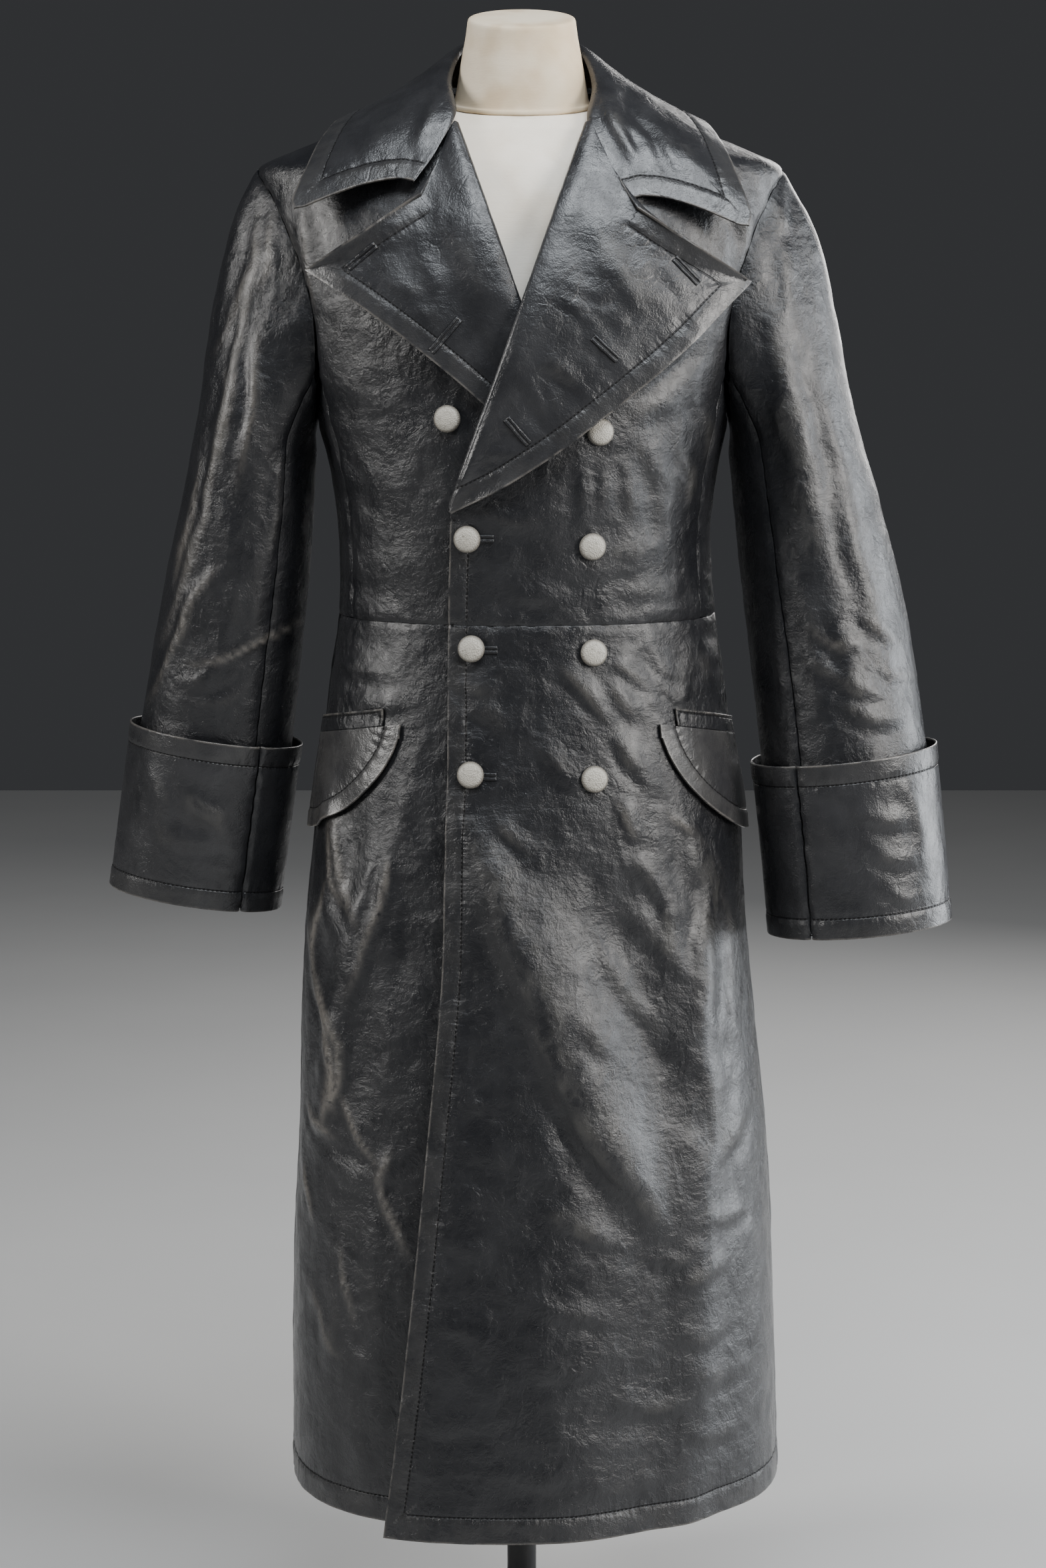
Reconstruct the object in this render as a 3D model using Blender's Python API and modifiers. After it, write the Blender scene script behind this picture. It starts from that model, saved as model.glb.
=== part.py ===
"""A double-breasted black leather coat on a limbless dress form with a pole and a round base.

Metres, +Z up. The coat faces -Y and the wearer's left is +X. The underside of the base is at z = 0.
"""
import math
from typing import NamedTuple

import bmesh
import bpy
from mathutils import Matrix, Vector

OBJECT_NAME = "leather_coat_on_dress_form"

# Leather and its seams
LEATHER = 0.002
SEAM = 0.0003
HALF_SEAM = 0.0002
ON_TOP = LEATHER + SEAM
TYPICAL_RADIUS = 0.2

# Heights of the coat
HEM_Z = 0.213
WAIST_Z = 1.026
BREAK_Z = 1.126
ROLL_TOP_Z = 1.467
SHOULDER_Z = 1.433
NECK_Z = 1.503


class BodyRing(NamedTuple):
    """A level outline of the coat: half widths to each side, depths, and how square its corners are."""
    z: float
    left: float
    right: float
    front: float
    back: float
    corner: float


COAT_RINGS = (
    BodyRing(0.213, 0.244, 0.217, 0.212, 0.225, 2.6),
    BodyRing(0.380, 0.239, 0.217, 0.204, 0.208, 2.6),
    BodyRing(0.540, 0.230, 0.210, 0.191, 0.188, 2.5),
    BodyRing(0.720, 0.2115, 0.2035, 0.174, 0.163, 2.4),
    BodyRing(0.850, 0.203, 0.1915, 0.161, 0.148, 2.35),
    BodyRing(0.950, 0.190, 0.180, 0.150, 0.135, 2.3),
    BodyRing(1.026, 0.179, 0.169, 0.143, 0.123, 2.3),
    BodyRing(1.100, 0.174, 0.169, 0.145, 0.122, 2.3),
    BodyRing(1.165, 0.181, 0.177, 0.148, 0.127, 2.3),
    BodyRing(1.205, 0.190, 0.188, 0.149, 0.132, 2.3),
    BodyRing(1.295, 0.212, 0.212, 0.145, 0.138, 2.3),
    BodyRing(1.370, 0.230, 0.231, 0.128, 0.128, 2.25),
    BodyRing(1.410, 0.2375, 0.239, 0.111, 0.113, 2.2),
    BodyRing(1.433, 0.2375, 0.2395, 0.098, 0.102, 2.2),
    BodyRing(1.450, 0.200, 0.200, 0.088, 0.094, 2.2),
    BodyRing(1.465, 0.163, 0.163, 0.080, 0.088, 2.2),
    BodyRing(1.480, 0.126, 0.126, 0.072, 0.082, 2.2),
    BodyRing(1.492, 0.099, 0.099, 0.066, 0.0765, 2.2),
    BodyRing(1.503, 0.084, 0.084, 0.060, 0.072, 2.2),
)

# Levels of the rows in the pieces above and below the waist seam
SIDE_LEVELS = (1.026, 1.076, 1.126, 1.165, 1.205, 1.247)
ARMHOLE_LEVELS = (1.247, 1.295, 1.335, 1.370, 1.402, 1.425, 1.433)
NECK_LEVELS = (1.433, 1.450, 1.465, 1.480, 1.492, 1.503)
BODICE_LEVELS = SIDE_LEVELS + ARMHOLE_LEVELS[1:] + NECK_LEVELS[1:]
SKIRT_LEVELS = (0.213, 0.290, 0.370, 0.450, 0.530, 0.610, 0.690, 0.765, 0.835, 0.900, 0.962, 1.026)


class Fold(NamedTuple):
    """A ridge that runs down the skirt between two turn angles; a negative depth is a trough."""
    angle_top: float
    z_top: float
    angle_bottom: float
    z_bottom: float
    width: float
    depth: float


SKIRT_FOLDS = (
    Fold(99, 0.900, 60, 0.440, 0.030, 0.011),
    Fold(78, 0.860, 50, 0.520, 0.034, -0.009),
    Fold(43, 0.880, 60, 0.200, 0.030, 0.010),
    Fold(153, 0.900, 142, 0.700, 0.022, 0.007),
    Fold(124, 0.860, 152, 0.520, 0.024, 0.009),
    Fold(238, 0.980, 232, 0.200, 0.055, 0.012),
    Fold(272, 0.960, 275, 0.200, 0.060, 0.014),
    Fold(306, 0.980, 312, 0.200, 0.055, 0.012),
)
FOLD_RISE = 0.35
FOLD_FALL = 0.70


class Level(NamedTuple):
    """A value at a height."""
    z: float
    value: float


# How far the left front stands out over the right, near its edge, and where across it fades out
LEFT_STAND_OFF = (
    Level(0.213, 0.044), Level(0.400, 0.031), Level(0.600, 0.018), Level(0.850, 0.010),
    Level(1.026, 0.0090), Level(1.126, 0.0115), Level(1.205, 0.0125), Level(1.295, 0.0110),
    Level(1.370, 0.003), Level(1.433, 0.0),
)
STAND_OFF_NONE_X = 0.170
STAND_OFF_FULL_X = 0.015

# Sideways place of the left front's free edge below the break of the lapel; the right's is mirrored
FRONT_EDGE = (
    Level(0.213, -0.109), Level(0.398, -0.093), Level(0.537, -0.082), Level(0.747, -0.067),
    Level(1.026, -0.063), Level(1.126, -0.060),
)
ROLL_BREAK_X = -0.060
ROLL_TOP_X = 0.061
NECK_END_ANGLE = 14.0

# Seams of the side body and of the skirt, as turn angles from the side
SIDE_BODY_ANGLE = 25.0
SKIRT_SIDE_ANGLE = 8.0

# Armhole: an eye round the side, from the armpit to the shoulder point
ARMPIT_Z = 1.200
ARMHOLE_MID_Z = 1.315
ARMHOLE_FRONT_ANGLE = 31.0
ARMHOLE_BACK_ANGLE = 31.0
ARMHOLE_INSET = 0.0014
ARMPIT_LAP = 0.0027


class SleeveRing(NamedTuple):
    """A section of a sleeve: its centre (x away from the body), half width and half depth."""
    z: float
    x: float
    y: float
    half_width: float
    half_depth: float


LEFT_SLEEVE = (
    SleeveRing(1.180, 0.2525, -0.004, 0.0605, 0.084),
    SleeveRing(1.080, 0.2715, -0.014, 0.0695, 0.081),
    SleeveRing(1.000, 0.2850, -0.026, 0.0735, 0.077),
    SleeveRing(0.920, 0.2955, -0.038, 0.0750, 0.073),
    SleeveRing(0.820, 0.3065, -0.050, 0.0785, 0.070),
    SleeveRing(0.743, 0.3135, -0.057, 0.0815, 0.068),
)
RIGHT_SLEEVE = (
    SleeveRing(1.180, 0.2470, 0.004, 0.0560, 0.083),
    SleeveRing(1.080, 0.2610, 0.008, 0.0635, 0.080),
    SleeveRing(1.000, 0.2745, 0.013, 0.0680, 0.076),
    SleeveRing(0.920, 0.2865, 0.019, 0.0705, 0.072),
    SleeveRing(0.830, 0.3000, 0.025, 0.0745, 0.069),
    SleeveRing(0.756, 0.3110, 0.030, 0.0780, 0.067),
)
CAP_ROWS = 5
ARM_ROWS = 7
CAP_OUTWARD = 0.34
CAP_DOWNWARD = 0.80
SIDE_COLUMNS = 4
SLEEVE_HALF_SEAM = 0.0006
SIDE_HALF_SEAM = 0.0004

# Cuffs, turned back over the ends of the sleeves
LEFT_CUFF_TOP_Z = 0.900
RIGHT_CUFF_TOP_Z = 0.911
CUFF_ROWS = 3
CUFF_END_OUT = ON_TOP + 0.0005
CUFF_TOP_OUT = 0.0095
CUFF_BELOW_SLEEVE = 0.003


class LapelOutline(NamedTuple):
    """A lapel as it lies in front, x towards its own side: break, belly, tip and notch."""
    break_x: float
    break_z: float
    belly_x: float
    belly_z: float
    tip_x: float
    tip_z: float
    notch_x: float
    notch_z: float
    edge_out: float


LEFT_LAPEL = LapelOutline(-0.060, 1.126, 0.0601, 1.1804, 0.188, 1.330, 0.100, 1.388, 0.0105)
RIGHT_LAPEL = LapelOutline(-0.060, 1.126, 0.0390, 1.2380, 0.178, 1.338, 0.088, 1.401, 0.0064)
LAPEL_TIP_AT = 0.72
LAPEL_START = 0.05
LAPEL_COLUMNS = 8
LAPEL_ROWS = 12
ROLL_RADIUS = 0.0032
ROLL_SHARE = 0.25
LAPEL_FLAT_OUT = 0.0042
LAPEL_TIP_OUT = 0.026


class CollarRow(NamedTuple):
    """A section of the left half of the collar: neck seam, fold and outer edge."""
    along: float
    seam_x: float
    seam_y: float
    seam_z: float
    fold_x: float
    fold_y: float
    fold_z: float
    edge_x: float
    edge_y: float
    edge_z: float
    crown: float


COLLAR_ROWS = (
    CollarRow(0.00, 0.000, 0.0735, 1.508, 0.000, 0.0640, 1.552, 0.000, 0.128, 1.464, 0.010),
    CollarRow(0.16, 0.046, 0.0590, 1.508, 0.032, 0.0540, 1.5515, 0.076, 0.116, 1.464, 0.009),
    CollarRow(0.32, 0.079, 0.0240, 1.508, 0.0510, 0.0300, 1.549, 0.132, 0.078, 1.470, 0.002),
    CollarRow(0.47, 0.085, -0.0130, 1.506, 0.0610, 0.0000, 1.536, 0.162, 0.016, 1.477, -0.003),
    CollarRow(0.61, 0.0815, -0.0440, 1.494, 0.0670, -0.0340, 1.512, 0.180, -0.044, 1.453, 0.001),
    CollarRow(0.75, 0.0690, -0.0770, 1.470, 0.0660, -0.0770, 1.478, 0.193, -0.086, 1.419, 0.005),
    CollarRow(0.88, 0.0850, -0.0990, 1.438, 0.0860, -0.1000, 1.438, 0.201, -0.106, 1.395, 0.005),
    CollarRow(1.00, 0.1050, -0.1160, 1.404, 0.1060, -0.1170, 1.404, 0.207, -0.118, 1.372, 0.003),
)
STAND_FRONT_AT = 2 / 3
STAND_COLUMNS = 16
STAND_ROWS = 2
LEAF_COLUMNS = 24
LEAF_ROWS = 6
FOLD_ROLL_DROP = 0.006
FOLD_ROLL_IN = 0.0035
STAND_TOP_GAP = 0.0022
RIGHT_TIP_RISE = 0.016


class Pocket(NamedTuple):
    """A flap on the skirt, from its front corner round to the side, as turn angles from the side."""
    front_angle: float
    back_angle: float
    z: float
    drop: float
    height: float


LEFT_POCKET = Pocket(54.0, -14.0, 0.935, 0.030, 0.088)
RIGHT_POCKET = Pocket(57.0, -14.0, 0.935, 0.028, 0.088)
FLAP_CURVE_SHARE = 0.62
FLAP_LEAST_HEIGHT = 0.14
FLAP_COLUMNS = 12
FLAP_EVEN = 0.45
POCKET_OUT = ON_TOP + 0.0006
FLAP_ROWS = 3
FLAP_FOOT_OUT = 0.0065
WELT_HEIGHT = 0.016
WELT_COLUMNS = 10
WELT_ROWS = 1
WELT_FRONT_CUT = 14.0


class ButtonPlace(NamedTuple):
    """A button by its place on the front, whether it sits on the left front, and its shank's extra length."""
    node: str
    x: float
    z: float
    on_left: bool
    shank: float


BUTTONS = (
    ButtonPlace("left_button_1", 0.0666, 1.198, True, 0.0),
    ButtonPlace("left_button_2", 0.060, 1.097, True, 0.0004),
    ButtonPlace("left_button_3", 0.062, 1.001, True, 0.0006),
    ButtonPlace("left_button_4", 0.063, 0.889, True, 0.0001),
    ButtonPlace("right_button_1", -0.065, 1.209, False, 0.0),
    ButtonPlace("right_button_2", -0.046, 1.104, True, 0.0),
    ButtonPlace("right_button_3", -0.043, 1.005, True, 0.0006),
    ButtonPlace("right_button_4", -0.044, 0.893, True, 0.0005),
)


class Turned(NamedTuple):
    """A ring of a turned shape: its radius and height."""
    radius: float
    height: float


BUTTON_RINGS = (
    Turned(0.0055, 0.0000), Turned(0.0060, 0.0012), Turned(0.0115, 0.0018), Turned(0.0121, 0.0028),
    Turned(0.0112, 0.0046), Turned(0.0088, 0.0063), Turned(0.0048, 0.0075),
)
BUTTON_SEGMENTS = 16
BUTTON_SEAT = LEATHER / 2 + SEAM


class FormRing(NamedTuple):
    """A level outline of the dress form's torso."""
    z: float
    half: float
    front: float
    back: float


FORM_RINGS = (
    FormRing(0.800, 0.150, 0.094, 0.098), FormRing(0.806, 0.160, 0.103, 0.107),
    FormRing(0.840, 0.171, 0.115, 0.119), FormRing(0.900, 0.170, 0.119, 0.116),
    FormRing(0.960, 0.160, 0.116, 0.103), FormRing(1.030, 0.146, 0.110, 0.092),
    FormRing(1.110, 0.149, 0.114, 0.095), FormRing(1.200, 0.165, 0.120, 0.108),
    FormRing(1.300, 0.184, 0.120, 0.112), FormRing(1.370, 0.200, 0.108, 0.100),
    FormRing(1.410, 0.209, 0.097, 0.088), FormRing(1.433, 0.207, 0.090, 0.078),
    FormRing(1.450, 0.1963, 0.0805, 0.066), FormRing(1.465, 0.1593, 0.0725, 0.058),
    FormRing(1.480, 0.1150, 0.0680, 0.058), FormRing(1.487, 0.0760, 0.0670, 0.060),
)
FORM_CORNER = 2.2
FORM_SEGMENTS = 40
FORM_TILT = 0.17
TILT_FROM_Z = 1.465
NECK_RINGS = (
    Turned(0.0630, 0.0000), Turned(0.0640, 0.0012), Turned(0.0600, 0.0180), Turned(0.0550, 0.0400),
    Turned(0.0510, 0.0620), Turned(0.0490, 0.0760), Turned(0.0478, 0.0788), Turned(0.0450, 0.0800),
)
NECK_SEGMENTS = 36
NECK_LEAN = 0.19
NECK_CAP_TILT = 0.25
NECK_Y = -0.0035
POLE_RADIUS = 0.014
POLE_SEGMENTS = 24
BASE_RADIUS = 0.190
BASE_HEIGHT = 0.018
BASE_SEGMENTS = 64
BASE_BEVEL = 0.005

# Colours
LEATHER_COLOUR = (0.020, 0.021, 0.025)
STAND_COLOUR = (0.062, 0.048, 0.040)
BUTTON_COLOUR = (0.520, 0.490, 0.450)
CANVAS_COLOUR = (0.640, 0.560, 0.450)
NECK_COLOUR = (0.560, 0.460, 0.340)
METAL_COLOUR = (0.030, 0.030, 0.032)


def smooth(share):
    """A soft step from 0 to 1."""
    share = min(max(share, 0.0), 1.0)
    return share * share * (3 - 2 * share)


def sample(rows, at):
    """A row of a table at a value of its first column, on a smooth curve through the rows."""
    last = len(rows) - 1
    index = 0
    while index < last - 1 and rows[index + 1][0] < at:
        index += 1
    start = rows[index]
    end = rows[index + 1]
    span = end[0] - start[0]
    share = min(max((at - start[0]) / span, 0.0), 1.0)
    values = []
    for column in range(len(start)):
        chord = (end[column] - start[column]) / span
        slope_in = chord
        slope_out = chord
        if index > 0:
            before = rows[index - 1]
            slope_in = (end[column] - before[column]) / (end[0] - before[0])
        if index + 1 < last:
            after = rows[index + 2]
            slope_out = (after[column] - start[column]) / (after[0] - start[0])
        a = (2 * share ** 3 - 3 * share ** 2 + 1) * start[column]
        b = (share ** 3 - 2 * share ** 2 + share) * span * slope_in
        c = (3 * share ** 2 - 2 * share ** 3) * end[column]
        d = (share ** 3 - share ** 2) * span * slope_out
        values.append(a + b + c + d)
    return type(start)(*values)


def level_of(levels, along):
    """The height at a share of the way along a list of row levels."""
    place = along * (len(levels) - 1)
    index = min(int(place + 1e-6), len(levels) - 2)
    return levels[index] + (levels[index + 1] - levels[index]) * (place - index)


def fold_height(angle, z):
    """How far the skirt's folds move it out at a turn angle and height."""
    total = 0.0
    for fold in SKIRT_FOLDS:
        along = (fold.z_top - z) / (fold.z_top - fold.z_bottom)
        if along <= 0:
            continue
        centre = fold.angle_top + (fold.angle_bottom - fold.angle_top) * min(along, 1.0)
        across = math.radians((angle - centre + 180) % 360 - 180) * TYPICAL_RADIUS / fold.width
        strength = smooth(along / FOLD_RISE)
        if fold.z_bottom > HEM_Z:
            strength *= 1 - smooth((along - FOLD_FALL) / (1 - FOLD_FALL))
        total += fold.depth * strength * math.exp(-across * across)
    return total


def outline(angle, z):
    """The coat's body surface: turn angle 0 is the wearer's left, 90 the front, 180 the right, 270 the back."""
    ring = sample(COAT_RINGS, z)
    cosine = math.cos(math.radians(angle))
    sine = math.sin(math.radians(angle))
    half = ring.left if cosine > 0 else ring.right
    depth = ring.front if sine > 0 else ring.back
    x = half * math.copysign(abs(cosine) ** (2 / ring.corner), cosine)
    y = -depth * math.copysign(abs(sine) ** (2 / ring.corner), sine)
    if z < WAIST_Z:
        grow = 1 + fold_height(angle, z) / math.hypot(x, y)
        x *= grow
        y *= grow
    return Vector((x, y, z))


def facing(angle, z):
    """The outward direction of the body surface."""
    turn_step = 0.6
    rise_step = 0.003
    low = max(z - rise_step, HEM_Z)
    high = min(z + rise_step, NECK_Z)
    across = outline(angle + turn_step, z) - outline(angle - turn_step, z)
    along = outline(angle, high) - outline(angle, low)
    return along.cross(across).normalized()


def coat(angle, z, out=0.0):
    """A point of the body surface, moved out along its facing."""
    return outline(angle, z) + facing(angle, z) * out


def angle_at(x, z):
    """The turn angle at which the front of the coat has a sideways place."""
    ring = sample(COAT_RINGS, z)
    half = ring.left if x > 0 else ring.right
    share = min(abs(x) / half, 1.0) ** (ring.corner / 2)
    return math.degrees(math.acos(math.copysign(share, x)))


def left_out(angle, z):
    """How far the left front stands out from the body surface."""
    x = outline(angle, z).x
    fade = smooth((STAND_OFF_NONE_X - x) / (STAND_OFF_NONE_X - STAND_OFF_FULL_X))
    return sample(LEFT_STAND_OFF, min(z, SHOULDER_Z)).value * fade


def on_left(angle, z, out=0.0):
    """A point over the left front."""
    return coat(angle, z, left_out(angle, z) + out)


def on_right(angle, z, out=0.0):
    """A point over the right front, at a turn angle counted from the wearer's right."""
    return coat(180 - angle, z, out)


def roll_x(z):
    """Sideways place of the left lapel's roll line."""
    return ROLL_BREAK_X + (ROLL_TOP_X - ROLL_BREAK_X) * (z - BREAK_Z) / (ROLL_TOP_Z - BREAK_Z)


def edge_angle(z, side):
    """Inner limit of a front: free edge, then roll line, then neckline, counted from its own side."""
    if z <= BREAK_Z:
        x = sample(FRONT_EDGE, z).value
    else:
        x = roll_x(min(z, ROLL_TOP_Z))
    angle = angle_at(side * x, min(z, ROLL_TOP_Z))
    if side < 0:
        angle = 180 - angle
    if z > ROLL_TOP_Z:
        share = (z - ROLL_TOP_Z) / (NECK_Z - ROLL_TOP_Z)
        angle += (NECK_END_ANGLE - angle) * share
    return angle


def armhole_angle(z, widest):
    """Half opening of the armhole at a height."""
    if z > ARMHOLE_MID_Z:
        share = (z - ARMHOLE_MID_Z) / (SHOULDER_Z - ARMHOLE_MID_Z)
    else:
        share = (ARMHOLE_MID_Z - z) / (ARMHOLE_MID_Z - ARMPIT_Z)
    return widest * math.sqrt(max(1 - share * share, 0.0))


def armhole_floor(angle):
    """Height of the lower half of the armhole at a turn angle from the side."""
    widest = ARMHOLE_FRONT_ANGLE if angle > 0 else ARMHOLE_BACK_ANGLE
    share = math.sqrt(max(1 - (angle / widest) ** 2, 0.0))
    return ARMHOLE_MID_Z - (ARMHOLE_MID_Z - ARMPIT_Z) * share


def outer_angle(z, widest):
    """Outer limit of a front or of half the back: side body seam, armhole, shoulder seam."""
    if z >= SHOULDER_Z:
        return 0.0
    if z <= armhole_floor(math.copysign(SIDE_BODY_ANGLE, widest)):
        return SIDE_BODY_ANGLE
    return armhole_angle(z, abs(widest))


def seam_turn(gap=HALF_SEAM):
    """The turn that leaves a gap on the body."""
    return math.degrees(gap / TYPICAL_RADIUS)


def collection_for(name):
    """A collection in the scene."""
    group = bpy.data.collections.new(name)
    bpy.context.scene.collection.children.link(group)
    return group


def surface_finish(name, colour, roughness, metallic=0.0):
    """A material with one colour."""
    finish = bpy.data.materials.new(name)
    finish.use_nodes = True
    shader = finish.node_tree.nodes["Principled BSDF"]
    shader.inputs["Base Color"].default_value = (*colour, 1.0)
    shader.inputs["Roughness"].default_value = roughness
    shader.inputs["Metallic"].default_value = metallic
    return finish


def add_object(name, shape, finish):
    """A named object of the part from a finished bmesh."""
    mesh = bpy.data.meshes.new(name)
    shape.to_mesh(mesh)
    shape.free()
    mesh.materials.append(finish)
    piece = bpy.data.objects.new(name, mesh)
    PARTS.objects.link(piece)
    return piece


def sheet(name, columns, rows, place, finish):
    """A leather piece: a grid set by place(across, along), both 0 to 1, with a wall."""
    grid = bmesh.new()
    bmesh.ops.create_grid(grid, x_segments=columns, y_segments=rows, size=0.5)
    for vert in grid.verts:
        vert.co = place(vert.co.x + 0.5, vert.co.y + 0.5)
    piece = add_object(name, grid, finish)
    wall = piece.modifiers.new("wall", "SOLIDIFY")
    wall.thickness = LEATHER
    wall.offset = 0.0
    return piece


def ring_stack(name, rings, segments, place, finish):
    """A closed shape through rings from the bottom up, each point set by place(ring, angle, share out)."""
    ball = bmesh.new()
    count = len(rings)
    bmesh.ops.create_uvsphere(ball, u_segments=segments, v_segments=count + 1, radius=1.0)
    for vert in ball.verts:
        polar = math.acos(min(max(-vert.co.z, -1.0), 1.0))
        number = round(polar / math.pi * (count + 1))
        ring = rings[min(max(number - 1, 0), count - 1)]
        share = 1.0 if 0 < number <= count else 0.0
        vert.co = place(ring, math.atan2(vert.co.y, vert.co.x), share)
    return add_object(name, ball, finish)


def bodice_z(along):
    """Row heights above the waist seam, clear of the seam."""
    return level_of(BODICE_LEVELS, along) + HALF_SEAM * (along == 0)


def skirt_z(along):
    """Row heights below the waist seam, clear of the seam."""
    return level_of(SKIRT_LEVELS, along) - HALF_SEAM * (along == 1)


def left_front_bodice(across, along):
    z = bodice_z(along)
    outer = outer_angle(z, ARMHOLE_FRONT_ANGLE) + seam_turn()
    inner = edge_angle(z, 1)
    return on_left(outer + (inner - outer) * across, z)


def right_front_bodice(across, along):
    z = bodice_z(along)
    outer = outer_angle(z, ARMHOLE_FRONT_ANGLE) + seam_turn()
    inner = edge_angle(z, -1)
    return on_right(outer + (inner - outer) * across, z)


def back_bodice(across, along):
    z = bodice_z(along)
    outer = outer_angle(z, -ARMHOLE_BACK_ANGLE) + seam_turn()
    return coat(180 + outer + (180 - 2 * outer) * across, z)


def side_body(across, along):
    """The side body of the left; the right one turns from the other side."""
    reach = SIDE_BODY_ANGLE - seam_turn(SIDE_HALF_SEAM)
    angle = -reach + 2 * reach * across
    low = WAIST_Z + HALF_SEAM
    share = (level_of(SIDE_LEVELS, along) - SIDE_LEVELS[0]) / (SIDE_LEVELS[-1] - SIDE_LEVELS[0])
    return angle, low + (armhole_floor(angle) - low) * share


def left_side_body(across, along):
    return coat(*side_body(across, along))


def right_side_body(across, along):
    return on_right(*side_body(across, along))


def left_front_skirt(across, along):
    z = skirt_z(along)
    outer = SKIRT_SIDE_ANGLE + seam_turn()
    return on_left(outer + (edge_angle(z, 1) - outer) * across, z)


def right_front_skirt(across, along):
    z = skirt_z(along)
    outer = SKIRT_SIDE_ANGLE + seam_turn()
    return on_right(outer + (edge_angle(z, -1) - outer) * across, z)


def back_skirt(across, along):
    reach = 180 + 2 * (SKIRT_SIDE_ANGLE - seam_turn())
    return coat(270 + reach * (across - 0.5), skirt_z(along))


def lapel_rim(lapel, along):
    """A lapel's outer edge from break to tip along its belly, then its top edge from tip to notch."""
    if along < LAPEL_TIP_AT:
        share = along / LAPEL_TIP_AT
        x = (1 - share) ** 2 * lapel.break_x + 2 * share * (1 - share) * lapel.belly_x
        z = (1 - share) ** 2 * lapel.break_z + 2 * share * (1 - share) * lapel.belly_z
        return x + share ** 2 * lapel.tip_x, z + share ** 2 * lapel.tip_z
    share = (along - LAPEL_TIP_AT) / (1 - LAPEL_TIP_AT)
    x = lapel.tip_x + (lapel.notch_x - lapel.tip_x) * share
    return x, lapel.tip_z + (lapel.notch_z - lapel.tip_z) * share


def lapel_place(lapel, side, surface):
    """The lapel turned back from the roll line: a half round, then a leaf that lifts to its tip."""
    def place(across, along):
        along = LAPEL_START + (1 - LAPEL_START) * along
        root_z = BREAK_Z + (ROLL_TOP_Z - BREAK_Z) * along
        root_x = roll_x(root_z)
        rim_x, rim_z = lapel_rim(lapel, along)
        if across < ROLL_SHARE:
            turn = math.pi * across / ROLL_SHARE
            reach = -ROLL_RADIUS * math.sin(turn)
            lift = ROLL_RADIUS * (1 - math.cos(turn))
            share = 0.0
        else:
            share = (across - ROLL_SHARE) / (1 - ROLL_SHARE)
            reach = 0.0
            near_tip = 1 - abs(along - LAPEL_TIP_AT) / LAPEL_TIP_AT
            edge_out = lapel.edge_out + (LAPEL_TIP_OUT - lapel.edge_out) * smooth(near_tip) ** 3
            settle = 2 * ROLL_RADIUS + (LAPEL_FLAT_OUT - 2 * ROLL_RADIUS) * math.sin(math.pi * share)
            lift = settle + (edge_out - 2 * ROLL_RADIUS) * share ** 2
        clear = LEATHER / 2 + SEAM
        x = root_x + (rim_x - root_x) * share + reach - clear
        z = root_z + (rim_z - root_z) * share
        angle = angle_at(side * x, z)
        if side < 0:
            angle = 180 - angle
        return surface(angle, z, lift)
    return place


def mirrored(row, side, rise):
    """The three points of a collar row on one side."""
    lift = rise * row.along ** 3
    seam = Vector((side * row.seam_x, row.seam_y, row.seam_z + lift))
    fold = Vector((side * row.fold_x, row.fold_y, row.fold_z + lift))
    edge = Vector((side * row.edge_x, row.edge_y, row.edge_z + lift))
    return seam, fold, edge


def collar_points(across, reach):
    """A collar row's points from the right front, round the back, to the left front."""
    side = 1 if across > 0.5 else -1
    row = sample(COLLAR_ROWS, abs(across - 0.5) * 2 * reach)
    rise = RIGHT_TIP_RISE if side < 0 else 0.0
    return mirrored(row, side, rise), row


def leaf_start(seam, fold):
    """Where the leaf begins inside the fold; in front, where there is no stand, it begins at the fold."""
    inward = Vector((-fold.x, -fold.y, 0)).normalized()
    tall = smooth((fold - seam).length / (2 * FOLD_ROLL_DROP))
    return fold + (inward * FOLD_ROLL_IN - Vector((0, 0, FOLD_ROLL_DROP))) * tall


def collar_stand(across, along):
    (seam, fold, edge), row = collar_points(across, STAND_FRONT_AT)
    top = leaf_start(seam, fold)
    top += (seam - top).normalized() * STAND_TOP_GAP
    return seam.lerp(top, along)


def collar_leaf(across, along):
    (seam, fold, edge), row = collar_points(across, 1.0)
    start = leaf_start(seam, fold)
    first = 1 / LEAF_ROWS
    if along <= first:
        return start.lerp(fold, along / first)
    share = (along - first) / (1 - first)
    chord = (edge - fold).normalized()
    upright = (Vector((0, 0, 1)) - chord * chord.z).normalized()
    return fold.lerp(edge, share) + upright * row.crown * math.sin(math.pi * share)


def sleeve_end(rings, side, z, angle, out=0.0):
    """A point of a sleeve's tube at a height of its axis; angle 0 is outermost and 90 in front."""
    rows = tuple(reversed(rings))
    step = 0.005
    low = sample(rows, max(z - step, rows[0].z))
    high = sample(rows, min(z + step, rows[-1].z))
    ring = sample(rows, z)
    axis = Vector((low.x - high.x, 0, low.z - high.z)).normalized()
    outward = Vector((-axis.z, 0, axis.x))
    turn = math.radians(angle)
    point = Vector((ring.x, ring.y, ring.z))
    point += outward * (ring.half_width + out) * math.cos(turn)
    point += Vector((0, -1, 0)) * (ring.half_depth + out) * math.sin(turn)
    return Vector((side * point.x, point.y, point.z))


def armhole_turn(z):
    """The angle round a sleeve of a height in the armhole."""
    reach = SHOULDER_Z - ARMHOLE_MID_Z if z > ARMHOLE_MID_Z else ARMHOLE_MID_Z - ARMPIT_Z
    return math.degrees(math.acos((z - ARMHOLE_MID_Z) / reach))


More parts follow.
